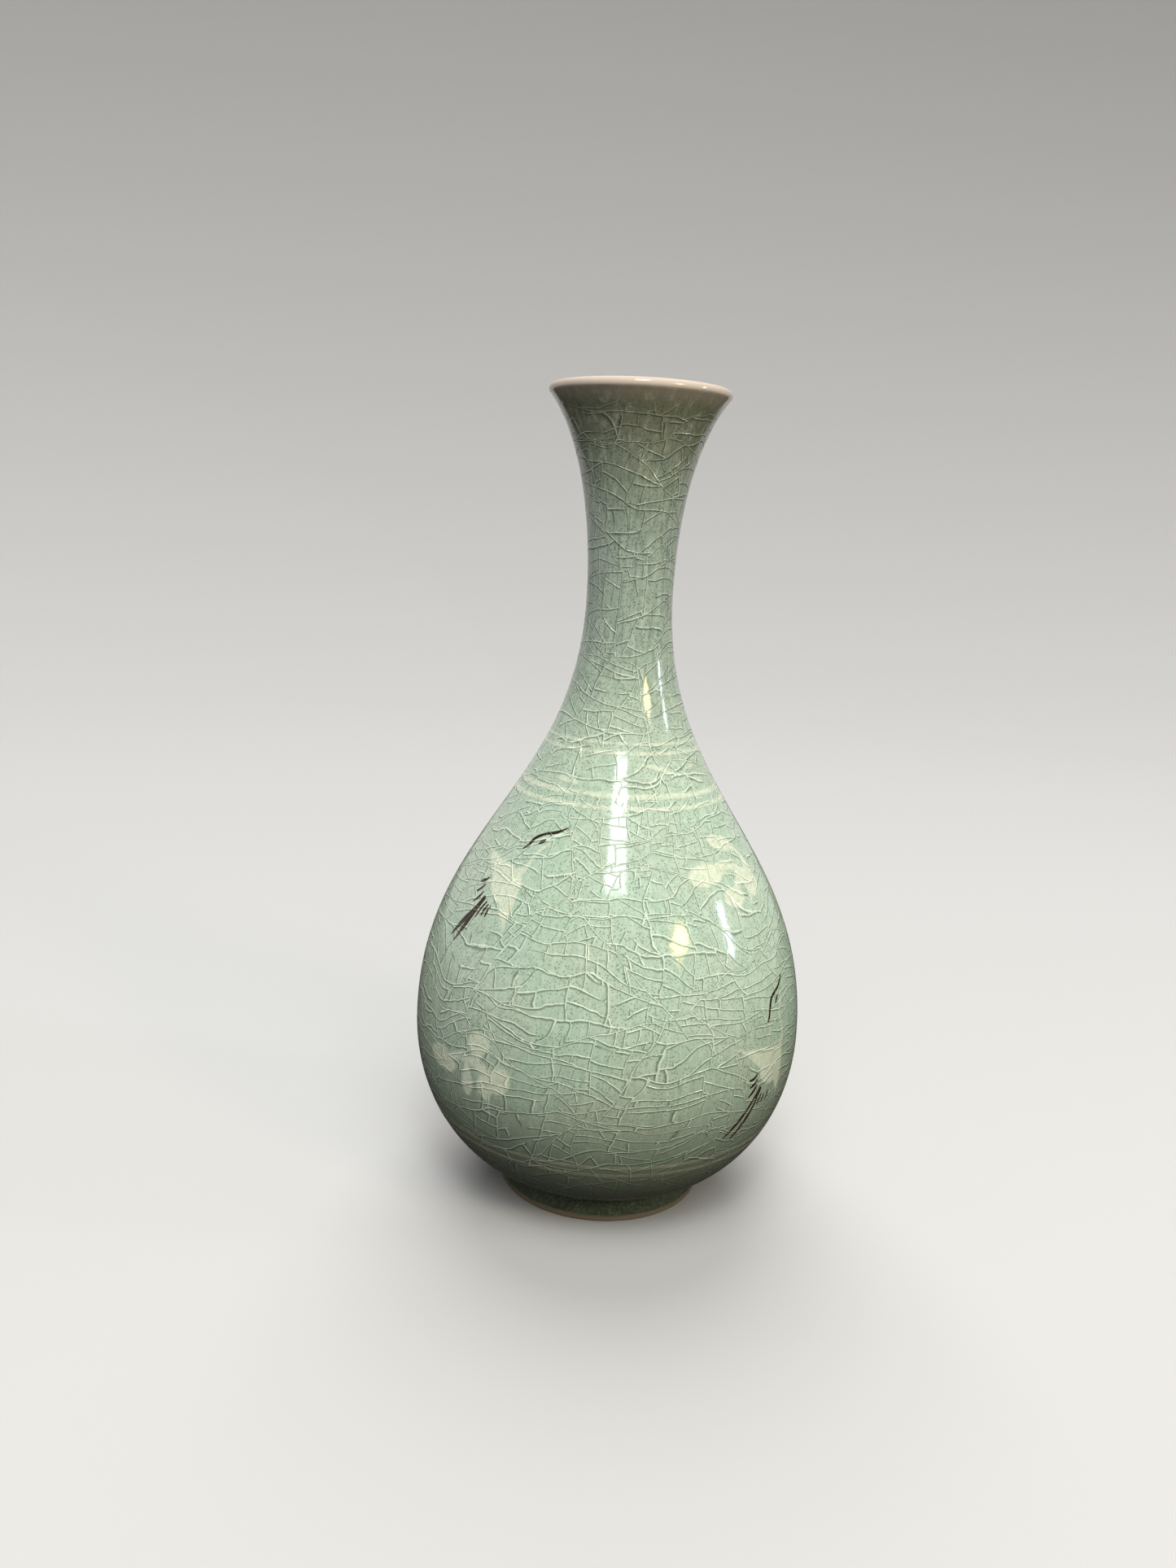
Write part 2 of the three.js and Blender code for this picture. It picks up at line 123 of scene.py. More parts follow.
@dataclass(frozen=True)
class WallOutline:
    """Outer face of the vase as three curves, from the foot ring up to the lip."""

    belly_radius: float
    height: float
    belly_height: float = 0.0664
    neck_radius: float = 0.0157
    neck_height: float = 0.228
    mouth_radius: float = 0.0324
    foot_radius: float = 0.0385
    foot_height: float = 0.009
    wall: float = 0.004
    foot_angle: float = 19.0
    mouth_angle: float = 39.0
    foot_out: float = 0.33
    belly_below: float = 0.51
    belly_above: float = 0.442
    neck_below: float = 0.454
    neck_above: float = 0.517
    mouth_in: float = 0.2
    steps: int = 90

    @property
    def lip_radius(self) -> float:
        """Radius of the round lip."""
        return self.wall / 2

    @property
    def lip_centre(self) -> tuple[float, float]:
        """Radius and height of the middle of the round lip."""
        return self.mouth_radius - self.lip_radius, self.height - self.lip_radius

    def face(self) -> np.ndarray:
        """Fine points of the outer face as rows of radius and height, from foot to lip."""
        up = np.array([0.0, 1.0])
        foot = np.array([self.foot_radius, self.foot_height])
        belly = np.array([self.belly_radius, self.belly_height])
        neck = np.array([self.neck_radius, self.neck_height])
        mouth = arc(self.lip_centre, self.lip_radius, -self.mouth_angle, 0, 1)[0]
        leaving, ending = math.radians(self.foot_angle), math.radians(self.mouth_angle)
        out = np.array([math.cos(leaving), math.sin(leaving)])
        flare = np.array([math.sin(ending), math.cos(ending)])
        low_rise = self.belly_height - self.foot_height
        mid_rise = self.neck_height - self.belly_height
        top_rise = mouth[1] - self.neck_height
        lower = [foot, foot + out * self.foot_out * low_rise, belly - up * self.belly_below * low_rise, belly]
        above, below = self.belly_above * mid_rise, self.neck_below * mid_rise
        shoulder = [belly, belly + up * above, neck - up * below, neck]
        above, inwards = self.neck_above * top_rise, self.mouth_in * top_rise
        flaring = [neck, neck + up * above, mouth - flare * inwards, mouth]
        curves = [bezier(corners, self.steps) for corners in (lower, shoulder, flaring)]
        return np.vstack([curves[0], curves[1][1:], curves[2][1:]])

    def inside(self, face: np.ndarray, distance: float) -> np.ndarray:
        """The points of a face moved square to it towards the inside of the wall.

        Args:
            face: Rows of radius and height.
            distance: How far the points move in.

        Returns:
            The moved rows.
        """
        along = np.gradient(face, axis=0)
        along /= np.linalg.norm(along, axis=1)[:, None]
        return face + distance * np.column_stack([-along[:, 1], along[:, 0]])


@dataclass(frozen=True)
class WallPlaces:
    """Finds radius, height and inward direction of places on the outer face."""

    outline: WallOutline
    face: np.ndarray

    @classmethod
    def of(cls, outline: WallOutline) -> "WallPlaces":
        """Places on the face of an outline."""
        return cls(outline, outline.face())

    @property
    def lengths(self) -> np.ndarray:
        """Length along the face from the foot to each of its points."""
        steps = np.linalg.norm(np.diff(self.face, axis=0), axis=1)
        return np.concatenate([[0.0], np.cumsum(steps)])

    def length_at(self, height: float) -> float:
        """Length along the face up to a height."""
        return float(np.interp(height, self.face[:, 1], self.lengths))

    def radius_at(self, height: np.ndarray) -> np.ndarray:
        """Radius of the face at each height."""
        return np.interp(height, self.face[:, 1], self.face[:, 0])

    def inward_at(self, height: np.ndarray) -> np.ndarray:
        """Direction square into the wall at each height, as rows of radius and height."""
        moved = self.outline.inside(self.face, 1.0) - self.face
        return np.column_stack([np.interp(height, self.face[:, 1], moved[:, i]) for i in (0, 1)])

    def wrap(self, flat: np.ndarray, angle: float, height: float, drawn_radius: float) -> np.ndarray:
        """Spreads flat drawn points over the wall.

        Args:
            flat: Rows of across and up in metres from the middle of the motif.
            angle: Where the middle stands, in degrees from the front.
            height: Height of the middle.
            drawn_radius: Radius of the wall that the motif was drawn for.

        Returns:
            Rows of x, y and z on the outer face.
        """
        length = self.length_at(height) + flat[:, 1]
        heights = np.interp(length, self.lengths, self.face[:, 1])
        radii = self.radius_at(heights)
        widened = float(self.radius_at(np.array(height))) / drawn_radius
        turn = math.radians(angle) + flat[:, 0] * widened / radii
        return np.column_stack([radii * np.sin(turn), -radii * np.cos(turn), heights])

    def deeper(self, points: np.ndarray, depth: float) -> np.ndarray:
        """Points of the outer face moved square into the wall by a depth."""
        inward = self.inward_at(points[:, 2])
        radii = np.linalg.norm(points[:, :2], axis=1)[:, None]
        moved = points.copy()
        moved[:, :2] += depth * inward[:, :1] * points[:, :2] / radii
        moved[:, 2] += depth * inward[:, 1]
        return moved


# ------------------------------------------------------------------ drawn shapes
@dataclass(frozen=True)
class Stroke:
    """A brush stroke: across, up and half width at points of its middle line, in mm."""

    points: tuple[tuple[float, float, float], ...]
    fineness: int = 8

    def middle_line(self) -> np.ndarray:
        """Fine rows of across, up and half width on a smooth line through the points."""
        given = np.array([self.points[0], *self.points, self.points[-1]])
        t = np.linspace(0.0, 1.0, self.fineness, endpoint=False)[:, None]
        rows = []
        for before, start, end, after in zip(given, given[1:], given[2:], given[3:]):
            rows.append(
                start
                + 0.5 * t * (end - before)
                + t**2 * (before - 2.5 * start + 2 * end - 0.5 * after)
                + t**3 * (1.5 * (start - end) + 0.5 * (after - before))
            )
        return np.vstack([*rows, given[-1:]])

    def reach(self, spots: np.ndarray) -> np.ndarray:
        """How far inside the stroke each spot lies, in mm, negative outside."""
        line = self.middle_line()
        deepest = np.full(len(spots), -np.inf)
        for start, end in zip(line, line[1:]):
            along = end[:2] - start[:2]
            share = np.clip((spots - start[:2]) @ along / max(along @ along, 1e-9), 0, 1)
            away = np.linalg.norm(spots - start[:2] - share[:, None] * along, axis=1)
            deepest = np.maximum(deepest, start[2] + share * (end[2] - start[2]) - away)
        return deepest

    def box(self) -> np.ndarray:
        """Lowest and highest corner of the stroke as two rows."""
        line = self.middle_line()
        wide = line[:, 2:]
        return np.array([(line[:, :2] - wide).min(0), (line[:, :2] + wide).max(0)])


@dataclass(frozen=True)
class Lobe:
    """An oval patch: middle, half length and half width in mm, and turn in degrees."""

    across: float
    up: float
    half_length: float
    half_width: float
    turn: float

    def reach(self, spots: np.ndarray) -> np.ndarray:
        """How far inside the lobe each spot lies, in mm, negative outside."""
        turn = math.radians(self.turn)
        off = spots - np.array([self.across, self.up])
        along = (off[:, 0] * math.cos(turn) + off[:, 1] * math.sin(turn)) / self.half_length
        aside = (off[:, 1] * math.cos(turn) - off[:, 0] * math.sin(turn)) / self.half_width
        away = np.hypot(along, aside)
        slope = np.hypot(along / self.half_length, aside / self.half_width)
        return away * (1 - away) / np.maximum(slope, 1e-6)

    def box(self) -> np.ndarray:
        """Lowest and highest corner of a square that holds the lobe, as two rows."""
        middle = np.array([self.across, self.up])
        reach = max(self.half_length, self.half_width)
        return np.array([middle - reach, middle + reach])


Shape = Stroke | Lobe


def stroke(*points: tuple[float, float, float]) -> Stroke:
    """A brush stroke through the given points."""
    return Stroke(points)


@dataclass(frozen=True)
class Drawing:
    """Shapes that run together into one piece of slip."""

    shapes: tuple[Shape, ...]
    run_together: float = 0.5

    def reach(self, spots: np.ndarray) -> np.ndarray:
        """How far inside the joined shapes each spot lies, in mm, negative outside."""
        joined = self.shapes[0].reach(spots)
        for shape in self.shapes[1:]:
            other = shape.reach(spots)
            joined = (joined + other + np.hypot(joined - other, self.run_together)) / 2
        return joined

    def box(self) -> np.ndarray:
        """Lowest and highest corner of all the shapes, as two rows."""
        boxes = np.array([shape.box() for shape in self.shapes])
        return np.array([boxes[:, 0].min(0), boxes[:, 1].max(0)])

    def sheet(self, cell: float) -> bmesh.types.BMesh:
        """A flat sheet cut to the drawing.

        Args:
            cell: Size of the sheet's faces in mm.

        Returns:
            The sheet in metres, with its distance from the edge in mm on every vertex.
        """
        low, high = self.box() + np.array([[-cell], [cell]])
        across, up = np.ceil((high - low) / cell).astype(int)
        middle = (low + high) / 2
        sheet = bmesh.new()
        placed = Matrix.Translation((*middle, 0)) @ Matrix.Diagonal((across * cell / 2, up * cell / 2, 1, 1))
        bmesh.ops.create_grid(sheet, x_segments=int(across), y_segments=int(up), size=1, matrix=placed)
        centres = np.array([face.calc_center_median()[:2] for face in sheet.faces])
        outside = [face for face, inside in zip(sheet.faces, self.reach(centres)) if inside < 0]
        bmesh.ops.delete(sheet, geom=outside, context="FACES")
        keep_largest(sheet)
        rim = [vert for vert in sheet.verts if vert.is_boundary]
        self.draw_to_edge(rim, cell)
        near = {edge.other_vert(vert) for vert in rim for edge in vert.link_edges} - set(rim)
        for _ in range(2):
            bmesh.ops.smooth_vert(sheet, verts=list(near), factor=0.5, use_axis_x=True, use_axis_y=True)
        bmesh.ops.dissolve_degenerate(sheet, dist=cell * 0.08, edges=sheet.edges)
        edge = sheet.verts.layers.float.new("slip_edge")
        spots = np.array([vert.co[:2] for vert in sheet.verts])
        for vert, inside in zip(sheet.verts, self.reach(spots)):
            vert[edge] = max(float(inside), 0.0)
        bmesh.ops.scale(sheet, vec=(MM, MM, MM), verts=sheet.verts)
        return sheet

    def draw_to_edge(self, rim: list[bmesh.types.BMVert], cell: float) -> None:
        """Moves the rim of a sheet onto the drawing's edge.

        Args:
            rim: Vertices of the rim.
            cell: Size of the sheet's faces in mm, which limits the move.
        """
        start = np.array([vert.co[:2] for vert in rim])
        spots = start.copy()
        nudge = 0.02
        for _ in range(3):
            inside = self.reach(spots)
            slope = np.column_stack(
                [(self.reach(spots + step) - inside) / nudge for step in np.eye(2) * nudge]
            )
            spots -= inside[:, None] * slope / np.maximum((slope**2).sum(1), 0.25)[:, None]
        moved = spots - start
        length = np.linalg.norm(moved, axis=1)[:, None]
        spots = start + moved * np.minimum(1, cell / np.maximum(length, 1e-9))
        for vert, spot in zip(rim, spots):
            vert.co[:2] = spot


def keep_largest(sheet: bmesh.types.BMesh) -> None:
    """Deletes every island of faces but the largest."""
    left = set(sheet.faces)
    islands = []
    while left:
        island = {left.pop()}
        front = list(island)
        while front:
            face = front.pop()
            for edge in face.edges:
                for other in edge.link_faces:
                    if other in left:
                        left.remove(other)
                        island.add(other)
                        front.append(other)
        islands.append(island)
    largest = max(islands, key=len)
    loose = [face for island in islands if island is not largest for face in island]
    bmesh.ops.delete(sheet, geom=loose, context="FACES")


# ------------------------------------------------------------------ node wiring
class Wiring:
    """Adds and joins the nodes of one shader tree, laid out in columns."""

    COLUMN = 8

    def __init__(self, tree: bpy.types.NodeTree) -> None:
        """Starts with the tree that the nodes go into."""
        self.tree = tree

    def node(self, kind: str, settings: dict | None = None, **inputs: object) -> bpy.types.Node:
        """Adds a node.

        Args:
            kind: The node's type without its ShaderNode prefix.
            settings: Values of the node's own properties.
            **inputs: A value or a socket for each input, with _ for spaces in its name.

        Returns:
            The new node.
        """
        made = self.tree.nodes.new("ShaderNode" + kind)
        count = len(self.tree.nodes)
        made.location = (count // self.COLUMN * 220, -(count % self.COLUMN) * 190)
        for name, value in (settings or {}).items():
            setattr(made, name, value)
        for name, value in inputs.items():
            self.feed(made.inputs[name.replace("_", " ")], value)
        return made

    def feed(self, socket: bpy.types.NodeSocket, value: object) -> None:
        """Links a socket to an input, or sets the input's own value."""
        if isinstance(value, bpy.types.NodeSocket):
            self.tree.links.new(value, socket)
        else:
            socket.default_value = value

    def math(self, operation: str, *values: object) -> bpy.types.NodeSocket:
        """The result of a math operation on the values."""
        made = self.node("Math", {"operation": operation})
        for socket, value in zip(made.inputs, values):
            self.feed(socket, value)
        return made.outputs[0]

    def scaled(self, vector: object, size: object) -> bpy.types.NodeSocket:
        """A vector times a number, or times each number of a vector."""
        if isinstance(size, tuple):
            made = self.node("VectorMath", {"operation": "MULTIPLY"})
            self.feed(made.inputs[1], size)
        else:
            made = self.node("VectorMath", {"operation": "SCALE"}, Scale=size)
        self.feed(made.inputs[0], vector)
        return made.outputs[0]

    def step(self, value: object, low: object, high: object, falling: bool = False) -> bpy.types.NodeSocket:
        """A smooth step of the value.

        Args:
            value: What is measured.
            low: Where the step starts.
            high: Where the step ends.
            falling: True for a step from 1 down to 0.

        Returns:
            0 to 1 over the step, or 1 to 0.
        """
        made = self.node(
            "MapRange",
            {"interpolation_type": "SMOOTHSTEP"},
            Value=value,
            From_Min=low,
            From_Max=high,
            To_Min=1.0 if falling else 0.0,
            To_Max=0.0 if falling else 1.0,
        )
        return made.outputs[0]

    def mix(self, share: object, below: object, above: object, blend: str = "MIX") -> bpy.types.NodeSocket:
        """A colour over another.

        Args:
            share: How much of the upper colour shows.
            below: The lower colour.
            above: The upper colour.
            blend: How the two are blended.

        Returns:
            The blended colour.
        """
        made = self.node("Mix", {"data_type": "RGBA", "blend_type": blend})
        self.feed(made.inputs[0], share)
        self.feed(made.inputs[6], below)
        self.feed(made.inputs[7], above)
        return made.outputs[2]

    def noise(self, place: object, scale: float, detail: float = 0.0, **more: object) -> bpy.types.Node:
        """A noise texture at a place, with a scale in turns per millimetre."""
        return self.node("TexNoise", None, Vector=place, Scale=scale, Detail=detail, **more)


@dataclass(frozen=True)
class Socket:
    """One named socket of a shader group."""

    name: str
    kind: str = "NodeSocketFloat"
    value: float | None = None


class ShaderGroup:
    """A shader node group with named inputs and outputs, built once and used many times."""

    def __init__(self, name: str, inputs: list[Socket], outputs: list[str]) -> None:
        """Makes the group's sockets and its two end nodes.

        Args:
            name: Name of the group.
            inputs: The group's inputs.
            outputs: Names of the group's outputs, which are all numbers.
        """
        self.tree = bpy.data.node_groups.new(name, "ShaderNodeTree")
        for socket in inputs:
            made = self.tree.interface.new_socket(name=socket.name, in_out="INPUT", socket_type=socket.kind)
            if socket.value is not None:
                made.default_value = socket.value
        for output in outputs:
            self.tree.interface.new_socket(name=output, in_out="OUTPUT", socket_type="NodeSocketFloat")
        self.wiring = Wiring(self.tree)
        self.source = self.tree.nodes.new("NodeGroupInput")
        self.result = self.tree.nodes.new("NodeGroupOutput")
        self.source.location = (-220, 0)

    def put(self, output: str, value: object) -> None:
        """Feeds one of the group's outputs."""
        self.wiring.feed(self.result.inputs[output], value)
        self.result.location = (len(self.tree.nodes) // Wiring.COLUMN * 220 + 220, 0)

    def use(self, wiring: Wiring, **inputs: object) -> bpy.types.Node:
        """Places the group in a material.

        Args:
            wiring: The material's wiring.
            **inputs: A value or a socket for each input, with _ for spaces in its name.

        Returns:
            The group node.
        """
        return wiring.node("Group", {"node_tree": self.tree}, **inputs)


# ------------------------------------------------------------------ effects of the glaze
PLACE = Socket("Place", "NodeSocketVector")


@dataclass(frozen=True)
class Crackle:
    """Raised crazing: long wavy cracks, and shorter and shorter cracks between them.

    Sizes are in millimetres. The glaze is divided first into wide fields, each field into
    rows with a tilt of their own, each row into bricks, each brick into slices that run its
    own way, and some slices into chips, so that later cracks end on earlier ones.
    """

    field_size: float = 38.0
    row_height: float = 9.0
    brick_length: float = 12.5
    slice_height: float = 4.8
    chip_length: float = 6.5
    field_tilt: float = 0.7
    brick_tilt: float = 1.1
    slice_turn: float = 1.0
    wavers: tuple[tuple[float, float], ...] = ((36.0, 17.0), (12.0, 3.8), (2.8, 0.6))
    shoulder_coarse: float = 0.08
    neck_coarse: float = 0.07
    body_radius: float = 58.0
    shoulder_radius: float = 32.0
    neck_radius: float = 21.0
    shoulder_from: float = 158.2
    neck_from: float = 175.5
    first_crack: float = 14.0
    last_crack: float = 295.0
    low_fade: float = 26.0
    high_fade: float = 9.0
    dim_from: float = 195.0
    dim_to: float = 255.0
    dim_share: float = 0.5
    shuffle: float = 431.0
    field_flatness: float = 1.25
    randomness: float = 0.95
    row_lack: float = 0.16
    brick_lack: float = 0.3
    slice_lack: float = 0.4
    chip_lack: float = 0.46
    lack_size: float = 13.0
    lack_gain: float = 12.0
    split_share: float = 0.5
    out_of_sight: float = 9.0
    core: float = 0.4
    flank: float = 1.15
    # Where the painted shadow beside a crack starts and ends, in line widths, and its strength along field
    # edges.
    side_from: float = 1.5
    side_to: float = 3.7
    field_side: float = 0.5
    relief_reach: float = 1.4
    seam_size: float = 33.0
    seam_swing: float = 0.9

    def group(self) -> ShaderGroup:
        """The shader group, whose outputs are the pale line (partly the crazing's own colour, partly painted
        highlight), a painted shadow along its lower side, and its relief.
        """
        inputs = [PLACE, Socket("Line Width", value=0.3), Socket("Presence", value=0.5)]
        group = ShaderGroup("glaze_crackle", inputs, ["Line", "Painted Shadow", "Relief"])
        wiring = group.wiring
        place = wiring.scaled(group.source.outputs["Place"], 1 / MM)
        across, up, seam, coarse = self.spread(wiring, place)
        field_gap, field_mark = self.fields(wiring, across, up, coarse)
        tilt = self.off_centre(wiring, field_mark[0], self.field_tilt)
        tilted = wiring.math("MULTIPLY_ADD", across, tilt, up)
        row_gap, row_mark, row_below = self.divide(
            wiring, tilted, field_mark[1], self.row_height, coarse
        )
        slant = self.off_centre(wiring, row_mark[0], self.brick_tilt)
        slanted = wiring.math("MULTIPLY_ADD", up, slant, across)
        brick_gap, brick_mark, brick_side = self.divide(
            wiring, slanted, row_mark[1], self.brick_length, coarse
        )
        turn = self.off_centre(wiring, brick_mark[2], self.slice_turn)
        lifted, aside = self.turned(wiring, across, up, turn)
        slice_gap, slice_mark, slice_below = self.divide(
            wiring, lifted, brick_mark[1], self.slice_height, coarse
        )
        chip_gap, _, chip_side = self.divide(wiring, aside, slice_mark[1], self.chip_length, coarse)

        presence = group.source.outputs["Presence"]
        broken = wiring.noise(place, 1 / self.lack_size, 1.0)
        marks = wiring.node("SeparateColor", None, Color=broken.outputs["Color"])
        row_gap = self.faded(wiring, row_gap, marks.outputs[0], presence, self.row_lack)
        brick_gap = self.faded(wiring, brick_gap, marks.outputs[1], presence, self.brick_lack)
        slice_gap = self.faded(wiring, slice_gap, marks.outputs[2], presence, self.slice_lack)
        chip_gap = self.faded(wiring, chip_gap, marks.outputs[0], presence, self.chip_lack)
        unsplit = wiring.math("GREATER_THAN", slice_mark[0], self.split_share)
        unsplit = wiring.math("MULTIPLY", unsplit, self.out_of_sight)
        chip_gap = wiring.math("ADD", chip_gap, unsplit)

        gap = row_gap
        for other in (field_gap, brick_gap, slice_gap, chip_gap, seam):
            gap = wiring.math("MINIMUM", gap, other)
        _, _, height = self.parts(wiring, place)
        shown = wiring.math(
            "MULTIPLY",
            wiring.step(height, self.first_crack, self.first_crack + self.low_fade),
            wiring.step(height, self.last_crack - self.high_fade, self.last_crack, falling=True),
        )
        width = group.source.outputs["Line Width"]
        core = wiring.math("MULTIPLY", width, self.core)
        flank = wiring.math("MULTIPLY", width, self.flank)
        near = wiring.math("MULTIPLY", width, self.side_from)
        far = wiring.math("MULTIPLY", width, self.side_to)
        # Pale line along each crack: partly the crazing's own colour, partly painted highlight on the raised
        # crack.
        line = wiring.step(gap, core, flank, falling=True)
        # Painted shadow beside each raised crack, as if lit from above: on its lower side, and on both sides
        # of field edges.
        dark = wiring.step(field_gap, near, far, falling=True)
        dark = wiring.math("MULTIPLY", dark, self.field_side)
        sided = (
            (row_below, row_gap),
            (brick_side, brick_gap),
            (slice_below, slice_gap),
            (chip_side, chip_gap),
        )
        for side, side_gap in sided:
            shade = wiring.math("MULTIPLY", side, wiring.step(side_gap, near, far, falling=True))
            dark = wiring.math("MAXIMUM", dark, shade)
        dark = wiring.math("MULTIPLY", dark, wiring.math("SUBTRACT", 1.0, line))
        dim = wiring.math("MULTIPLY", wiring.step(height, self.dim_from, self.dim_to), self.dim_share)
        bright = wiring.math("MULTIPLY", line, wiring.math("SUBTRACT", 1.0, dim))
        group.put("Line", wiring.math("MULTIPLY", bright, shown))
        group.put("Painted Shadow", wiring.math("MULTIPLY", dark, shown))
        reach = wiring.math("MULTIPLY", width, self.relief_reach)
        relief = wiring.step(gap, 0.0, reach, falling=True)
        group.put("Relief", wiring.math("MULTIPLY", relief, shown))
        return group

    def parts(self, wiring: Wiring, vector: object) -> tuple[bpy.types.NodeSocket, ...]:
        """The three numbers of a vector."""
        return tuple(wiring.node("SeparateXYZ", None, Vector=vector).outputs)

    def off_centre(self, wiring: Wiring, mark: object, spread: float) -> bpy.types.NodeSocket:
        """A mark of 0 to 1 as a number about 0 with the given spread."""
        return wiring.math("MULTIPLY", wiring.math("SUBTRACT", mark, 0.5), spread)

    def turned(self, wiring: Wiring, across: object, up: object, turn: object) -> tuple:
        """Up and across measured along directions that are turned by an angle in radians."""
        sine, cosine = wiring.math("SINE", turn), wiring.math("COSINE", turn)
        lifted = wiring.math("MULTIPLY_ADD", up, cosine, wiring.math("MULTIPLY", across, sine))
        kept = wiring.math("MULTIPLY", across, cosine)
        aside = wiring.math("SUBTRACT", kept, wiring.math("MULTIPLY", up, sine))
        return lifted, aside

    def spread(self, wiring: Wiring, place: object) -> tuple[bpy.types.NodeSocket, ...]:
        """Unrolls the wall into a flat, wavering sheet in millimetres.

        Args:
            wiring: The group's wiring.
            place: Place on the vase in millimetres.

        Returns:
            Across and up on the sheet, the distance from the sheet's own edge at the back, and
            how coarse the crackle is, 1 on the belly.
        """
        x, y, z = self.parts(wiring, place)
        angle = wiring.math("ARCTAN2", x, wiring.math("MULTIPLY", y, -1.0))
        options = {"noise_dimensions": "1D"}
        swing = wiring.node("TexNoise", options, W=z, Scale=1 / self.seam_size, Detail=2.0)
        swing = self.off_centre(wiring, swing.outputs[0], self.seam_swing)
        turned = wiring.math("WRAP", wiring.math("ADD", angle, swing), math.pi, -math.pi)
        on_shoulder = wiring.math("GREATER_THAN", z, self.shoulder_from)
        on_neck = wiring.math("GREATER_THAN", z, self.neck_from)
        radius = wiring.math(
            "MULTIPLY_ADD", on_shoulder, self.shoulder_radius - self.body_radius, self.body_radius
        )
        radius = wiring.math("MULTIPLY_ADD", on_neck, self.neck_radius - self.shoulder_radius, radius)
        stretch = wiring.math("ADD", on_shoulder, on_neck)
        across = wiring.math("MULTIPLY", wiring.math("SUBTRACT", turned, swing), radius)
        across = wiring.math("MULTIPLY_ADD", stretch, self.shuffle, across)
        up = z
        for size, reach in self.wavers:
            moved = wiring.noise(place, 1 / size)
            moved = wiring.node("SeparateColor", None, Color=moved.outputs["Color"])
            across = wiring.math("ADD", across, self.off_centre(wiring, moved.outputs[0], reach))
            up = wiring.math("ADD", up, self.off_centre(wiring, moved.outputs[1], reach))
        coarse = wiring.math("MULTIPLY_ADD", on_shoulder, self.shoulder_coarse, 1.0)
        coarse = wiring.math("MULTIPLY_ADD", on_neck, self.neck_coarse, coarse)
        across = wiring.math("DIVIDE", across, coarse)
        up = wiring.math("DIVIDE", up, coarse)
        left = wiring.math("SUBTRACT", math.pi, wiring.math("ABSOLUTE", turned))
        edge = wiring.math("MULTIPLY", left, radius)
        return across, up, edge, coarse

    def fields(self, wiring: Wiring, across: object, up: object, coarse: object) -> tuple:
        """Divides the sheet into wide fields.

        Args:
            wiring: The group's wiring.
            across: Across on the sheet.
            up: Up on the sheet.
            coarse: How coarse the crackle is.

        Returns:
            Distance from a field's edge, and three marks that are the same all over a field.
        """
        flattened = wiring.math("MULTIPLY", up, self.field_flatness)
        spot = wiring.node("CombineXYZ", None, X=across, Y=flattened).outputs[0]
        options = {"voronoi_dimensions": "2D"}
        cells = wiring.node("TexVoronoi", options, Vector=spot, Scale=1 / self.field_size)
        options = {"voronoi_dimensions": "2D", "feature": "DISTANCE_TO_EDGE"}
        edges = wiring.node("TexVoronoi", options, Vector=spot, Scale=1 / self.field_size)
        marks = wiring.node("SeparateColor", None, Color=cells.outputs["Color"])
        gap = wiring.math("MULTIPLY", edges.outputs["Distance"], self.field_size)
        return wiring.math("MULTIPLY", gap, coarse), tuple(marks.outputs)

    def divide(self, wiring: Wiring, along: object, mark: object, size: float, coarse: object) -> tuple:
        """Divides a field or row along one direction.

        Args:
            wiring: The group's wiring.
            along: Position along the direction.
            mark: Mark of what is divided, which shifts its divisions.
            size: Mean length of a division.
            coarse: How coarse the crackle is.

        Returns:
            Distance from the nearest division line, three marks of the division, and 1 just
            below the line or 0 above it.
        """
        shifted = wiring.math("MULTIPLY_ADD", mark, self.shuffle, along)
        options = {"voronoi_dimensions": "1D"}
        layout = {"W": shifted, "Scale": 1 / size, "Randomness": self.randomness}
        cells = wiring.node("TexVoronoi", options, **layout)
        options = {"voronoi_dimensions": "1D", "feature": "DISTANCE_TO_EDGE"}
        edges = wiring.node("TexVoronoi", options, **layout)
        marks = wiring.node("SeparateColor", None, Color=cells.outputs["Color"])
        gap = wiring.math("MULTIPLY", edges.outputs["Distance"], size)
        below = wiring.math("GREATER_THAN", shifted, cells.outputs["W"])
        return wiring.math("MULTIPLY", gap, coarse), tuple(marks.outputs), below

    def faded(self, wiring: Wiring, gap: object, mark: object, presence: object, share: float) -> object:
        """Lets a crack run out where a mark is low.

        Args:
            wiring: The group's wiring.
            gap: Distance from the crack.
            mark: Mark that varies slowly over the wall.
            presence: How present the cracks are, 0.5 as they are drawn.
            share: Mark under which a crack runs out.

        Returns:
            The distance, made larger where the crack runs out.
        """
        limit = wiring.math("SUBTRACT", share + 0.5, presence)
        lack = wiring.math("MAXIMUM", wiring.math("SUBTRACT", limit, mark), 0.0)
        return wiring.math("MULTIPLY_ADD", lack, self.lack_gain, gap)


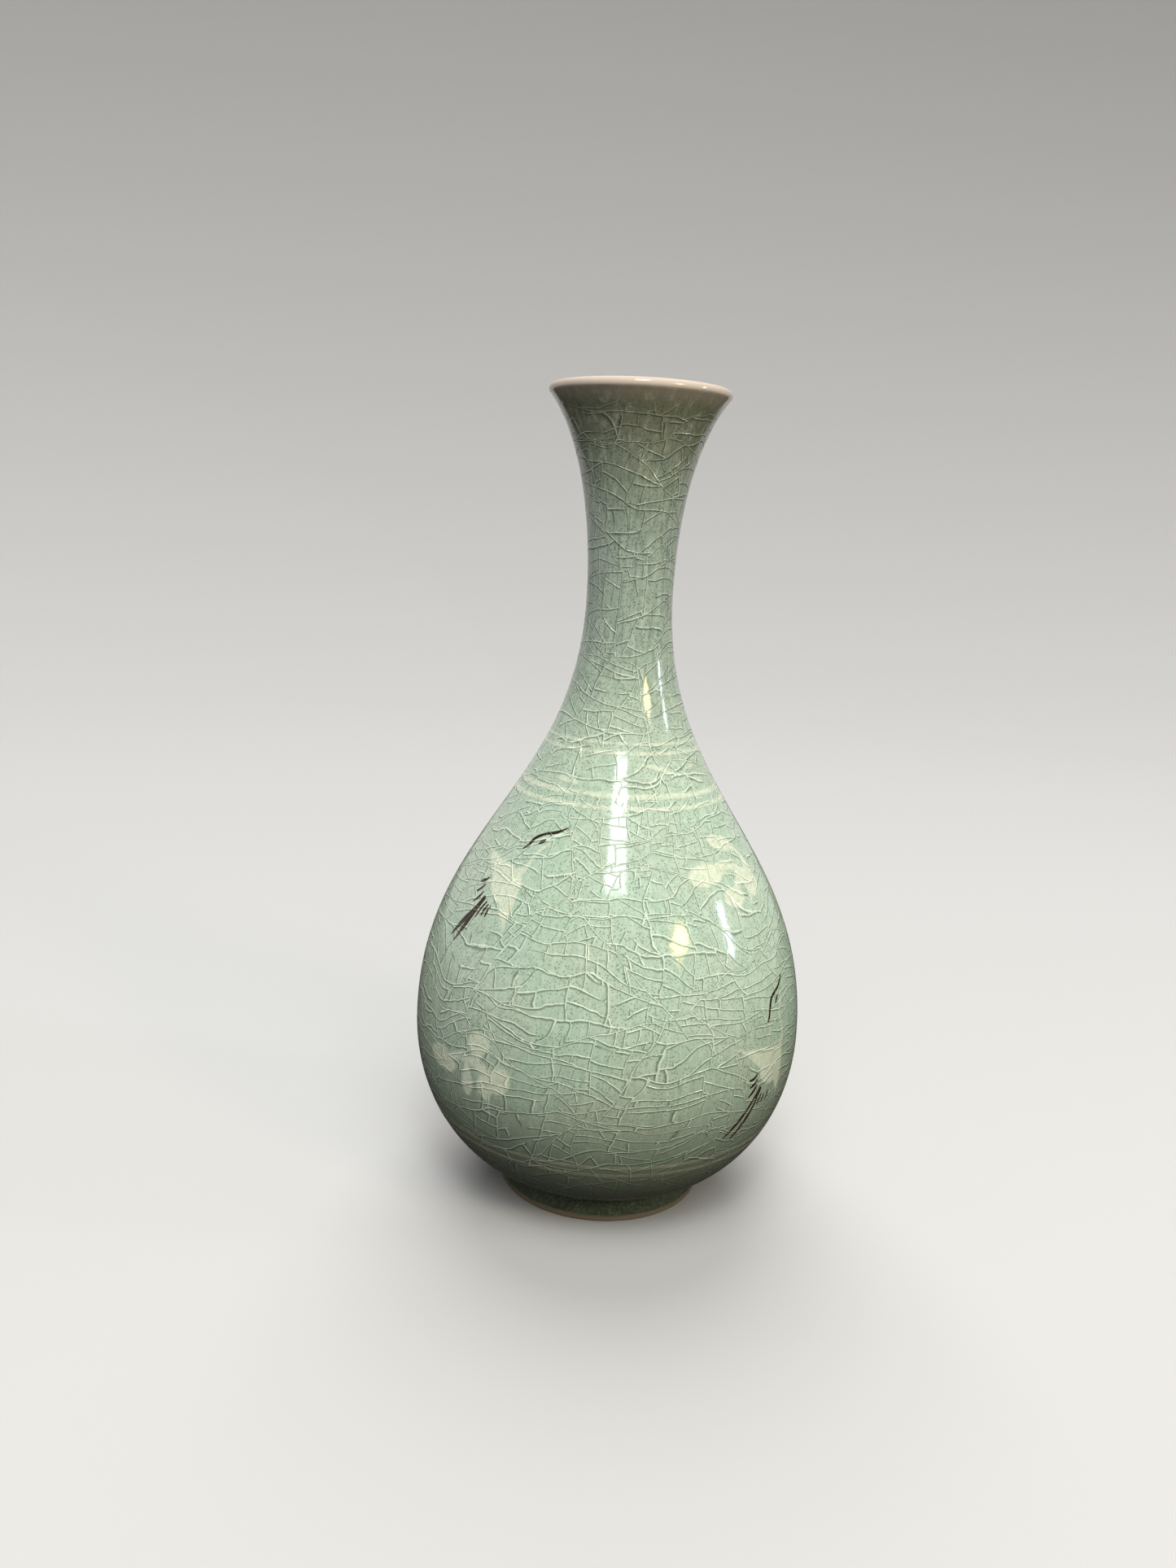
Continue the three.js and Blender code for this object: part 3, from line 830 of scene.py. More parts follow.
@dataclass(frozen=True)
class Speckle:
    """Fine dark grains seen through the glaze, in patches, and its peel. Sizes are in mm."""

    grain: float = 0.95
    mottle: float = 2.4
    patch: float = 9.0
    peel: float = 1.3
    dot: tuple[float, float] = (0.2, 0.42)
    patch_edge: tuple[float, float] = (0.3, 0.62)
    mottle_edge: tuple[float, float] = (0.38, 0.62)
    thin_share: float = 0.4

    def group(self) -> ShaderGroup:
        """The shader group, whose outputs are the grains, a soft mottle and the surface's peel."""
        group = ShaderGroup("glaze_speckle", [PLACE], ["Grain", "Mottle", "Peel"])
        wiring = group.wiring
        place = wiring.scaled(group.source.outputs["Place"], 1 / MM)
        spots = wiring.node("TexVoronoi", None, Vector=place, Scale=1 / self.grain)
        dots = wiring.step(spots.outputs["Distance"], *self.dot, falling=True)
        patches = wiring.step(wiring.noise(place, 1 / self.patch, 2.0).outputs[0], *self.patch_edge)
        thick = wiring.math("MULTIPLY_ADD", patches, 1 - self.thin_share, self.thin_share)
        group.put("Grain", wiring.math("MULTIPLY", dots, thick))
        mottle = wiring.noise(place, 1 / self.mottle, 2.0).outputs[0]
        group.put("Mottle", wiring.step(mottle, *self.mottle_edge))
        group.put("Peel", wiring.noise(place, 1 / self.peel, 1.0).outputs[0])
        return group


@dataclass(frozen=True)
class Flow:
    """How the glaze pooled and ran: broad clouds and thin upright streaks. Sizes are in mm."""

    cloud: float = 34.0
    streak_width: float = 2.2
    streak_length: float = 46.0
    run_width: float = 1.0
    run_length: float = 15.0
    swell: float = 9.0
    cloud_edge: tuple[float, float] = (0.34, 0.66)
    run_edge: tuple[float, float] = (0.48, 0.7)

    def group(self) -> ShaderGroup:
        """The shader group, whose outputs are clouds, pale streaks, dark runs and uneven surface."""
        group = ShaderGroup("glaze_flow", [PLACE], ["Cloud", "Streak", "Run", "Swell"])
        wiring = group.wiring
        place = wiring.scaled(group.source.outputs["Place"], 1 / MM)
        cloud = wiring.noise(place, 1 / self.cloud, 3.0).outputs[0]
        group.put("Cloud", wiring.step(cloud, *self.cloud_edge))
        for output, wide, tall in (
            ("Streak", self.streak_width, self.streak_length),
            ("Run", self.run_width, self.run_length),
        ):
            drawn_out = wiring.scaled(place, (1 / wide, 1 / wide, 1 / tall))
            lines = wiring.noise(drawn_out, 1.0, 2.0).outputs[0]
            group.put(output, wiring.step(lines, *self.run_edge))
        group.put("Swell", wiring.noise(place, 1 / self.swell, 2.0).outputs[0])
        return group


@dataclass(frozen=True)
class GlazeEffects:
    """The effects that every finish under the glaze shares."""

    crackle: ShaderGroup
    speckle: ShaderGroup
    flow: ShaderGroup

    @classmethod
    def make(cls) -> "GlazeEffects":
        """Builds each shader group once."""
        return cls(Crackle().group(), Speckle().group(), Flow().group())


# ------------------------------------------------------------------ finishes
@dataclass(frozen=True)
class Finish:
    """What the finishes share: the clear crackled glaze over the ground, with pale crack lines that are
    partly painted highlight and a painted shadow beside them.
    """

    effects: GlazeEffects
    name: str = "finish"
    smoothest: float = 0.07
    rough_range: float = 0.08
    line_width: float = 0.21
    presence: float = 0.5
    relief: float = 0.12 * MM
    swell: float = 0.1 * MM
    peel: float = 0.012 * MM
    line_gain: Colour = (0.19, 0.18, 0.155, 1)
    side_loss: Colour = (0.36, 0.4, 0.38, 1)
    line_share: float = 0.9
    side_share: float = 0.82

    def start(self) -> tuple[bpy.types.Material, Wiring, bpy.types.Node, bpy.types.NodeSocket]:
        """A new material with its wiring, its shader and its place input."""
        material = bpy.data.materials.new(self.name)
        material.use_nodes = True
        tree = material.node_tree
        tree.nodes.clear()
        wiring = Wiring(tree)
        place = wiring.node("TexCoord").outputs["Object"]
        shader = wiring.node("BsdfPrincipled", None, IOR=1.5)
        wiring.node("OutputMaterial", None, Surface=shader.outputs[0])
        return material, wiring, shader, place

    def glaze(self, wiring: Wiring, shader: bpy.types.Node, place: object, ground: object) -> None:
        """Covers a ground colour with the glaze, its pale crack lines, partly painted highlight, and the
        painted shadow beside them.

        Args:
            wiring: The material's wiring.
            shader: The material's shader.
            place: Place on the vase.
            ground: Colour under the glaze.
        """
        crackle = self.effects.crackle.use(
            wiring, Place=place, Line_Width=self.line_width, Presence=self.presence
        )
        flow = self.effects.flow.use(wiring, Place=place)
        # Painted shadow beside the raised cracks darkens the ground; the pale line over it is partly the
        # crazing's own colour, partly painted highlight.
        dark = wiring.math("MULTIPLY", crackle.outputs["Painted Shadow"], self.side_share)
        pale = wiring.math("MULTIPLY", crackle.outputs["Line"], self.line_share)
        colour = wiring.mix(dark, ground, self.side_loss, "MULTIPLY")
        wiring.feed(shader.inputs["Base Color"], wiring.mix(pale, colour, self.line_gain, "ADD"))
        rough = wiring.math("MULTIPLY_ADD", flow.outputs["Swell"], self.rough_range, self.smoothest)
        wiring.feed(shader.inputs["Roughness"], rough)
        speckle = self.effects.speckle.use(wiring, Place=place)
        bumps = (
            (self.swell, flow.outputs["Swell"]),
            (self.peel, speckle.outputs["Peel"]),
            (self.relief, crackle.outputs["Relief"]),
        )
        bump = None
        for distance, height in bumps:
            below = {} if bump is None else {"Normal": bump.outputs[0]}
            bump = wiring.node("Bump", None, Strength=1.0, Distance=distance, Height=height, **below)
        wiring.feed(shader.inputs["Normal"], bump.outputs[0])


@dataclass(frozen=True)
class GlazedClay(Finish):
    """Grey clay under a pale sage-green glaze, thin on the lip and wiped off the foot ring. The neck and the
    lower belly are darker partly in the glaze and partly by painted shade; the top of the neck under the lip
    and the foot ring carry painted shade.
    """

    name: str = "glazed_clay"
    green: Colour = (0.355, 0.455, 0.352, 1)
    warm: Colour = (0.39, 0.445, 0.343, 1)
    # Darker neck colour: partly a darker glaze, partly painted shade on the neck below the flared lip.
    neck: Colour = (0.275, 0.335, 0.262, 1)
    # Olive painted shade at the top of the neck, under the flared lip.
    olive: Colour = (0.185, 0.175, 0.115, 1)
    # Darker towards the foot: partly glaze pooled thicker low down, mostly painted shade on the lower belly
    # and foot.
    deep: Colour = (0.075, 0.08, 0.048, 1)
    # Painted shade on the foot ring.
    pool: Colour = (0.034, 0.038, 0.024, 1)
    grain: Colour = (0.12, 0.18, 0.12, 1)
    dark_grain: Colour = (0.06, 0.105, 0.08, 1)
    streak: Colour = (0.52, 0.58, 0.45, 1)
    lip: Colour = (0.48, 0.4, 0.33, 1)
    clay: Colour = (0.15, 0.12, 0.078, 1)
    lip_band: float = 3.1
    lip_fade: float = 6.0
    # Heights over which the darker neck colour, partly painted shade, comes in.
    neck_from: float = 168.0
    neck_to: float = 215.0
    olive_from: float = 240.0
    clay_band: float = 2.2
    pool_from: float = 16.0
    pool_to: float = 7.0
    deep_from: float = 92.0
    deep_to: float = 6.0
    top: float = 300.0
    unevenness: float = 1.4
    warm_share: float = 0.6
    deep_share: float = 0.92
    pool_share: float = 0.75
    streak_share: float = 0.25
    neck_streak_share: float = 0.05
    run_share: float = 0.16
    neck_run_share: float = 0.3
    mottle_share: float = 0.15
    grain_share: float = 0.76
    lip_fade_share: float = 0.5
    rim_share: float = 0.9
    rim_edge: tuple[float, float] = (-0.8, 0.6)
    clay_edge: tuple[float, float] = (-0.6, 0.7)
    clay_roughness: float = 0.7

    def ground(self, wiring: Wiring, place: object) -> tuple[bpy.types.NodeSocket, bpy.types.NodeSocket]:
        """Colour of the clay and glaze before crazing, with painted shade on the neck, under the lip, on the
        lower belly and on the foot ring.

        Args:
            wiring: The material's wiring.
            place: Place on the vase.

        Returns:
            The colour, and 1 where the clay is bare.
        """
        flow = self.effects.flow.use(wiring, Place=place)
        speckle = self.effects.speckle.use(wiring, Place=place)
        height = wiring.math("DIVIDE", wiring.node("SeparateXYZ", None, Vector=place).outputs[2], MM)
        ragged = wiring.math("MULTIPLY_ADD", flow.outputs["Swell"], self.unevenness, -self.unevenness / 2)
        uneven = wiring.math("ADD", height, ragged)
        warm = wiring.math("MULTIPLY", flow.outputs["Cloud"], self.warm_share)
        colour = wiring.mix(warm, self.green, self.warm)
        # The neck darkens, partly by a darker glaze, partly by painted shade.
        high = wiring.step(height, self.neck_from, self.neck_to)
        colour = wiring.mix(high, colour, self.neck)
        # Painted shade under the flared lip darkens the top of the neck to olive.
        colour = wiring.mix(wiring.step(height, self.olive_from, self.top), colour, self.olive)
        # The lower belly and foot darken, partly for thicker glaze, mostly as painted shade.
        low = wiring.step(height, self.deep_to, self.deep_from, falling=True)
        colour = wiring.mix(wiring.math("MULTIPLY", low, self.deep_share), colour, self.deep)
        # Painted shade darkens the foot ring further.
        pooled = wiring.step(height, self.pool_to, self.pool_from, falling=True)
        colour = wiring.mix(wiring.math("MULTIPLY", pooled, self.pool_share), colour, self.pool)
        streaky = wiring.math("MULTIPLY_ADD", high, self.neck_streak_share, self.streak_share)
        streaky = wiring.math("MULTIPLY", streaky, wiring.math("SUBTRACT", 1.0, low))
        colour = wiring.mix(wiring.math("MULTIPLY", flow.outputs["Streak"], streaky), colour, self.streak)
        grain = wiring.mix(high, self.grain, self.dark_grain)
        runny = wiring.math("MULTIPLY_ADD", high, self.neck_run_share, self.run_share)
        colour = wiring.mix(wiring.math("MULTIPLY", flow.outputs["Run"], runny), colour, grain)
        for output, amount in (("Mottle", self.mottle_share), ("Grain", self.grain_share)):
            share = wiring.math("MULTIPLY", speckle.outputs[output], amount)
            colour = wiring.mix(share, colour, grain)
        lip_from = self.top - self.lip_band
        fade = wiring.step(uneven, lip_from - self.lip_fade, lip_from)
        colour = wiring.mix(wiring.math("MULTIPLY", fade, self.lip_fade_share), colour, self.lip)
        rim = wiring.step(uneven, *(lip_from + edge for edge in self.rim_edge))
        colour = wiring.mix(wiring.math("MULTIPLY", rim, self.rim_share), colour, self.lip)
        bare = wiring.step(uneven, *(self.clay_band + edge for edge in self.clay_edge), falling=True)
        return wiring.mix(bare, colour, self.clay), bare

    def material(self) -> bpy.types.Material:
        """The finished material."""
        material, wiring, shader, place = self.start()
        colour, bare = self.ground(wiring, place)
        self.glaze(wiring, shader, place, colour)
        glossy = shader.inputs["Roughness"].links[0].from_socket
        rough = wiring.math("MULTIPLY_ADD", bare, self.clay_roughness, glossy)
        wiring.feed(shader.inputs["Roughness"], rough)
        return material


@dataclass(frozen=True)
class WhiteSlip(GlazedClay):
    """White slip that thins out to the green glaze at its edges."""

    name: str = "white_slip"
    white: Colour = (0.545, 0.572, 0.44, 1)
    thin: Colour = (0.46, 0.515, 0.39, 1)
    dots: Colour = (0.27, 0.28, 0.19, 1)
    edge_from: float = -0.4
    edge_to: float = 1.3
    cover: float = 0.95
    # Less painted shadow beside the cracks over the white slip.
    side_share: float = 0.5
    patch: float = 2.1
    patch_edge: tuple[float, float] = (0.36, 0.64)
    dot_share: float = 0.6
    raggedness: float = 1.3

    def material(self) -> bpy.types.Material:
        """The finished material."""
        material, wiring, shader, place = self.start()
        clay, _ = self.ground(wiring, place)
        millimetres = wiring.scaled(place, 1 / MM)
        patches = wiring.noise(millimetres, 1 / self.patch, 3.0).outputs[0]
        slip = wiring.mix(wiring.step(patches, *self.patch_edge), self.thin, self.white)
        speckle = self.effects.speckle.use(wiring, Place=place)
        dotted = wiring.math("MULTIPLY", speckle.outputs["Grain"], self.dot_share)
        slip = wiring.mix(dotted, slip, self.dots)
        edge = wiring.node("Attribute", {"attribute_name": "slip_edge"}).outputs["Fac"]
        ragged = wiring.math("SUBTRACT", patches, 0.5)
        ragged = wiring.math("MULTIPLY_ADD", ragged, self.raggedness, edge)
        cover = wiring.math("MULTIPLY", wiring.step(ragged, self.edge_from, self.edge_to), self.cover)
        self.glaze(wiring, shader, place, wiring.mix(cover, clay, slip))
        return material


@dataclass(frozen=True)
class BlackSlip(Finish):
    """Iron-rich slip that fires to a brown black."""

    name: str = "black_slip"
    black: Colour = (0.016, 0.011, 0.007, 1)
    brown: Colour = (0.06, 0.042, 0.025, 1)
    line_share: float = 0.4
    # No painted shadow beside the cracks over the black slip.
    side_share: float = 0.0
    patch: float = 1.1
    patch_edge: tuple[float, float] = (0.52, 0.75)
    thin_edge: float = 0.16

    def material(self) -> bpy.types.Material:
        """The finished material."""
        material, wiring, shader, place = self.start()
        millimetres = wiring.scaled(place, 1 / MM)
        patches = wiring.noise(millimetres, 1 / self.patch, 2.0).outputs[0]
        edge = wiring.node("Attribute", {"attribute_name": "slip_edge"}).outputs["Fac"]
        thin = wiring.step(edge, 0.0, self.thin_edge, falling=True)
        thin = wiring.math("ADD", thin, wiring.step(patches, *self.patch_edge))
        share = wiring.math("MINIMUM", thin, 1.0)
        self.glaze(wiring, shader, place, wiring.mix(share, self.black, self.brown))
        return material


@dataclass(frozen=True)
class StudioPaper:
    """Plain pale paper of the floor and the wall."""

    colour: Colour = (0.35, 0.345, 0.335, 1)
    roughness: float = 0.9

    def material(self) -> bpy.types.Material:
        """The finished material."""
        material = bpy.data.materials.new("studio_paper")
        material.use_nodes = True
        shader = material.node_tree.nodes["Principled BSDF"]
        shader.inputs["Base Color"].default_value = self.colour
        shader.inputs["Roughness"].default_value = self.roughness
        return material


# ------------------------------------------------------------------ making pieces
def finished(name: str, shape: bmesh.types.BMesh, material: bpy.types.Material) -> bpy.types.Object:
    """Turns a shape into a piece in the scene.

    Args:
        name: Name of the piece.
        shape: Its mesh, which is freed.
        material: Its material.

    Returns:
        The piece's object.
    """
    mesh = bpy.data.meshes.new(name)
    shape.to_mesh(mesh)
    shape.free()
    mesh.shade_smooth()
    mesh.set_sharp_from_angle(angle=math.radians(SHARP_EDGE))
    mesh.materials.append(material)
    piece = bpy.data.objects.new(name, mesh)
    bpy.context.scene.collection.objects.link(piece)
    return piece


def turned(profile: np.ndarray, segments: int) -> bmesh.types.BMesh:
    """Spins a profile round the vase's axis.

    Args:
        profile: Rows of radius and height.
        segments: Steps of the full turn.

    Returns:
        The closed mesh with its faces outwards.
    """
    shape = bmesh.new()
    verts = [shape.verts.new((0, -radius, height)) for radius, height in profile]
    edges = [shape.edges.new(pair) for pair in zip(verts, verts[1:])]
    bmesh.ops.spin(
        shape,
        geom=verts + edges,
        cent=(0, 0, 0),
        axis=(0, 0, 1),
        angle=2 * math.pi,
        steps=segments,
        use_merge=True,
    )
    bmesh.ops.remove_doubles(shape, verts=shape.verts, dist=WELD)
    bmesh.ops.recalc_face_normals(shape, faces=shape.faces)
    return shape


def hand_in(piece: bpy.types.Object, node: str) -> None:
    """Lets a piece ride on the vase and stand for its CAD node."""
    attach(piece, "root")
    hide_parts(node)
    LOG.info("%s: %d faces for %s", piece.name, len(piece.data.polygons), node)


@dataclass
class Vessel:
    """The thrown body with its round lip, hollow inside, foot ring and hollow underside."""

    places: WallPlaces
    node: str = "vase_body"
    segments: int = 288
    under_slip: float = 0.05 * MM
    foot_ring: float = 0.007
    recess: float = 0.006
    floor: float = 0.006
    foot_edge: float = 0.0008
    floor_corner: float = 0.0015
    bed_gap: float = 0.0004
    floor_inset: float = 0.0012
    floor_steps: int = 14
    recess_steps: int = 12

    def profile(self) -> np.ndarray:
        """The closed profile from the middle of the underside round to the inner floor."""
        outline = self.places.outline
        face = self.places.face
        inner_ring = outline.foot_radius - self.foot_ring
        edge = self.foot_edge
        corner = self.floor_corner
        recess_radii = np.linspace(0, inner_ring - corner, self.recess_steps, endpoint=False)
        underside = [
            np.column_stack([recess_radii, np.full(self.recess_steps, self.recess)]),
            arc((inner_ring - corner, self.recess - corner), corner, 90, 0, 5),
            arc((inner_ring + edge, edge), edge, 180, 270, 4),
            arc((outline.foot_radius - edge, edge), edge, 270, 360, 4),
        ]
        outer = outline.inside(face, self.under_slip)
        start = -outline.mouth_angle
        lip = arc(outline.lip_centre, outline.lip_radius, start, start + 180, 20)
        inner = outline.inside(face, outline.wall)[::-1]
        floor_top = self.recess + self.floor
        inner = inner[inner[:, 1] > floor_top + self.bed_gap]
        floor_radii = np.linspace(inner[-1, 0] - self.floor_inset, 0, self.floor_steps)
        floor = np.column_stack([floor_radii, np.full(self.floor_steps, floor_top)])
        return np.vstack([*underside, outer[:-1], lip[1:-1], inner, floor])

    def build(self, material: bpy.types.Material) -> bpy.types.Object:
        """Spins the vessel and dresses it."""
        piece = finished("glazed_vessel", turned(self.profile(), self.segments), material)
        hand_in(piece, self.node)
        return piece


@dataclass
class RingLine:
    """A line of white slip that runs round the vase, a little uneven as the brush left it."""

    places: WallPlaces
    node: str
    depth: float = 0.9 * MM
    steps_round: int = 360
    steps_up: int = 6
    uneven: float = 0.1

    def build(self, material: bpy.types.Material) -> bpy.types.Object:
        """Bends a flat band round the wall, closes it and dresses it."""
        low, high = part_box(self.node)
        half = (high.z - low.z) / 2
        middle = (high.z + low.z) / 2
        band = bmesh.new()
        placed = Matrix.Diagonal((math.pi, 1, 1, 1))
        steps = {"x_segments": self.steps_round, "y_segments": self.steps_up}
        bmesh.ops.create_grid(band, size=1, matrix=placed, **steps)
        edge = band.verts.layers.float.new("slip_edge")
        for vert in band.verts:
            angle, up = vert.co.x, vert.co.y
            wide = half * (1 - self.uneven * (1 + self.waver(angle, middle + up * half)) / 2)
            height = middle + up * wide
            radius = float(self.places.radius_at(np.array(height)))
            vert[edge] = wide * (1 - abs(up)) / MM
            vert.co = Vector((radius * math.sin(angle), -radius * math.cos(angle), height))
        bmesh.ops.remove_doubles(band, verts=band.verts, dist=WELD)
        thickened(band, self.places, self.depth)
        piece = finished(self.node + "_slip", band, material)
        hand_in(piece, self.node)
        return piece

    def waver(self, angle: float, height: float) -> float:
        """How the line's width varies round the vase, from -1 to 1."""
        start = height / MM
        waves = ((5, start), (13, 2.3 * start), (29, -start))
        return sum(math.sin(count * angle + begin) for count, begin in waves) / len(waves)


def thickened(sheet: bmesh.types.BMesh, places: WallPlaces, depth: float) -> None:
    """Gives a sheet on the wall its thickness into the wall.

    Args:
        sheet: The sheet, whose faces lie on the outer face.
        places: Places on the wall.
        depth: Thickness of the slip.
    """
    made = bmesh.ops.extrude_face_region(sheet, geom=sheet.faces[:], use_keep_orig=True)
    verts = [item for item in made["geom"] if isinstance(item, bmesh.types.BMVert)]
    points = np.array([vert.co[:] for vert in verts])
    for vert, point in zip(verts, places.deeper(points, depth)):
        vert.co = Vector(point)
    bmesh.ops.recalc_face_normals(sheet, faces=sheet.faces)


@dataclass
class Inlay:
    """One piece of slip let into the wall."""

    places: WallPlaces
    node: str
    drawing: Drawing
    angle: float
    height: float
    drawn_radius: float
    slot: Slot
    depth: float = 1.1 * MM

    @property
    def cell(self) -> float:
        """Size of the faces in mm, finer for the narrow black strokes."""
        return 0.3 if self.slot is Slot.WHITE_SLIP else 0.15

    def build(self, material: bpy.types.Material) -> bpy.types.Object:
        """Cuts the sheet, bends it onto the wall, thickens it and dresses it."""
        sheet = self.drawing.sheet(self.cell)
        flat = np.array([vert.co[:2] for vert in sheet.verts])
        on_wall = self.places.wrap(flat, self.angle, self.height * MM, self.drawn_radius * MM)
        for vert, point in zip(sheet.verts, on_wall):
            vert.co = Vector(point)
        thickened(sheet, self.places, self.depth)
        piece = finished(self.node + "_slip", sheet, material)
        hand_in(piece, self.node)
        return piece


# ------------------------------------------------------------------ motifs
@dataclass(frozen=True)
class Motif:
    """A drawn motif: its parts by name, where an empty name is a motif of one part."""

    kind: str
    parts: dict[str, Drawing]

    def slot_of(self, part: str) -> Slot:
        """White slip for the broad parts, black slip for the brush strokes."""
        return Slot.WHITE_SLIP if part in ("", "body") else Slot.BLACK_SLIP

    def name_of(self, number: int, part: str) -> str:
        """Name of one part's node."""
        return "_".join(filter(None, [self.kind, str(number), part]))


def drawing(*shapes: Shape) -> Drawing:
    """Shapes that run together."""
    return Drawing(shapes)


HIGH_CRANE = Motif(
    "crane",
    {
        "body": drawing(
            stroke((-22.5, 11.2, 0.2), (-17.5, 10.2, 0.8), (-12.5, 7.6, 2.8), (-6.5, 4.6, 4.6), (0, 2, 5)),
            Lobe(-3, 0.4, 7.6, 5.8, -38),
            stroke((0, 1, 5), (1.4, -5, 3.8), (2.8, -10, 2.2), (4.2, -14.5, 0.7), (4.8, -17, 0.2)),
            stroke(
                (0, 4.5, 3), (3.4, 8.6, 1.4), (4.4, 12, 0.9),
                (5.6, 15, 0.8), (7.8, 18, 0.8), (9.6, 21.4, 0.4),
            ),
        ),
        "neck_line": drawing(
            stroke(
                (-1.2, 15.1, 0.3), (0.6, 17, 0.5), (2, 19.7, 0.6),
                (5.4, 22, 0.5), (9.4, 23.3, 0.6), (12.8, 25.5, 0.2),
            ),
        ),
        "eye_mark": drawing(stroke((4.5, 18.1, 0.3), (5.5, 19, 0.7), (6.4, 19.9, 0.3))),
        "wing_feather_1": drawing(stroke((-15.5, -1.2, 0.3), (-13.3, -0.2, 0.6), (-11.4, 1.2, 0.2))),
        "wing_feather_2": drawing(stroke((-15.4, -4.9, 0.3), (-13.5, -3.3, 0.5), (-11.8, -1.5, 0.2))),
        "wing_feather_3": drawing(stroke((-15.2, -8.5, 0.3), (-13, -6.5, 0.5), (-11.4, -4, 0.2))),
        "legs": drawing(
            stroke((-9.8, -5.9, 0.6), (-12.6, -10.2, 0.4), (-17.3, -16.6, 0.9), (-22.2, -22.8, 0.3)),
            stroke((-9.6, -6.2, 0.5), (-11.4, -10.6, 0.4), (-15.2, -17.6, 0.8), (-19.3, -24.3, 0.3)),
        ),
        "tail_feather_1": drawing(stroke((-7.7, -7, 0.3), (-9.4, -10, 0.5), (-10.8, -13.4, 0.3))),
        "tail_feather_2": drawing(stroke((-6.4, -7.8, 0.3), (-7.5, -9.9, 0.5), (-8.1, -12, 0.3))),
        "tail_feather_3": drawing(stroke((-5, -8, 0.3), (-5.7, -10, 0.5), (-6, -11.9, 0.3))),
    },
)

LOW_CRANE = Motif(
    "crane",
    {
        "body": drawing(
            stroke((-21, 11, 0.2), (-15.5, 9, 0.8), (-10.5, 6.8, 2), (-5, 4.2, 3.6), (1, 2, 5)),
            Lobe(1.8, -0.4, 7.8, 7, 0),
            stroke((4, 0.5, 4.6), (6.2, -4.5, 3.2), (7.2, -9, 1.8), (8, -13, 0.6), (8.2, -15, 0.2)),
            stroke(
                (4.5, 3, 3), (8.4, 6.4, 1.5), (9.2, 10, 1), (8.2, 13.4, 0.8),
                (7.4, 17, 0.8), (9, 21.4, 0.7), (10, 24.4, 0.4),
            ),
        ),
        "neck_line": drawing(
            stroke(
                (-0.8, 16.4, 0.6), (0.1, 18.2, 0.5), (1, 21, 0.6),
                (2.8, 24.2, 0.6), (8.6, 26.9, 0.5), (11.9, 29.9, 0.4),
            ),
        ),
        "eye_mark": drawing(stroke((5.2, 21.7, 0.4), (6.1, 22.8, 0.6), (7, 23.9, 0.3))),
        "wing_feather_1": drawing(stroke((-11, -2.7, 0.4), (-9, -2.5, 0.5), (-6.9, -1.1, 0.3))),
        "wing_feather_2": drawing(stroke((-10.2, -5.5, 0.4), (-8.4, -4.6, 0.6), (-6.8, -3.4, 0.3))),
        "wing_feather_3": drawing(stroke((-10.5, -9, 0.4), (-8.6, -7.4, 0.6), (-6.8, -5.4, 0.3))),
        "legs": drawing(
            stroke((-4.7, -7.3, 0.6), (-8, -11.4, 0.5), (-13, -18, 0.7), (-18.3, -23.6, 0.3)),
            stroke((-4.5, -7.6, 0.5), (-6.8, -13.6, 0.5), (-10.6, -20, 0.7), (-14.3, -24.9, 0.4)),
        ),
        "tail_feather_1": drawing(stroke((-3.2, -10, 0.3), (-4, -11.8, 0.6), (-4.8, -13.5, 0.3))),
        "tail_feather_2": drawing(stroke((-1.4, -10.5, 0.3), (-1.9, -11.8, 0.6), (-2.3, -13.2, 0.3))),
        "tail_feather_3": drawing(stroke((1.3, -10.2, 0.3), (0.8, -11.6, 0.5), (0.2, -13, 0.3))),
    },
)

HIGH_CLOUD = Motif(
    "cloud",
    {
        "": drawing(
            Lobe(-8.2, 1.1, 8.2, 4.5, 6),
            stroke((-3, 1.8, 3), (4, 3.2, 2), (9.4, 0, 2.2), (13.6, -4, 4)),
            Lobe(4.4, 11.5, 6.8, 3.4, -18),
            stroke((9.8, 9.2, 1.5), (14.2, 5.8, 1.3), (16, 0, 2.4)),
            Lobe(15.4, -5, 5.6, 5.6, 0),
            Lobe(1.8, -8.4, 6, 3.9, 0),
            stroke((3.6, -6, 2), (8.6, -2, 2.4)),
            stroke((12.4, -8, 1.6), (10.9, -12, 0.9), (11.3, -16, 0.7), (14.4, -20.2, 0.2)),
        ),
    },
)

LOW_CLOUD = Motif(
    "cloud",
    {
        "": drawing(
            Lobe(-14.6, -1.8, 8.4, 4.6, -5),
            stroke((-10, 0.6, 1.8), (-3.6, 2.6, 1.7), (2.5, 2.4, 1.8), (10.4, 0, 2.2)),
            stroke((2.8, 2.6, 1.8), (4.2, 6.4, 2.4)),
            Lobe(4.4, 9.6, 5.2, 4.3, 15),
            Lobe(14.2, -1.2, 5.8, 4.5, 62),
            stroke((-0.4, 2.4, 1.2), (-0.4, -2.6, 2.2), (-0.4, -6.4, 3.1), (-0.5, -9.6, 1.8)),
            stroke((9.6, -0.4, 2.6), (8.2, -4.6, 4), (8.4, -7.6, 2.6), (9.4, -11.6, 0.8), (9, -16, 0.2)),
        ),
    },
)

LONG_LEAF = Motif("leaf", {"": drawing(stroke((-6, 0.2, 0.2), (-3, 0.6, 1), (1, 0.4, 1.5), (5, -0.6, 0.6)))})
COMMA = Motif(
    "leaf", {"": drawing(stroke((-6.5, 1.8, 0.3), (-2.5, 1.4, 1.1), (2.5, -0.2, 1.3), (6.5, -2, 0.3)))}
)
SHORT_COMMA = Motif("leaf", {"": drawing(stroke((-4, -0.6, 0.2), (0, 0.6, 1), (4, 0.2, 0.3)))})


@dataclass(frozen=True)
class Stand:
    """Where a motif stands: degrees from the front, height and drawn radius in mm."""

    motif: Motif
    angle: float
    height: float
    drawn_radius: float


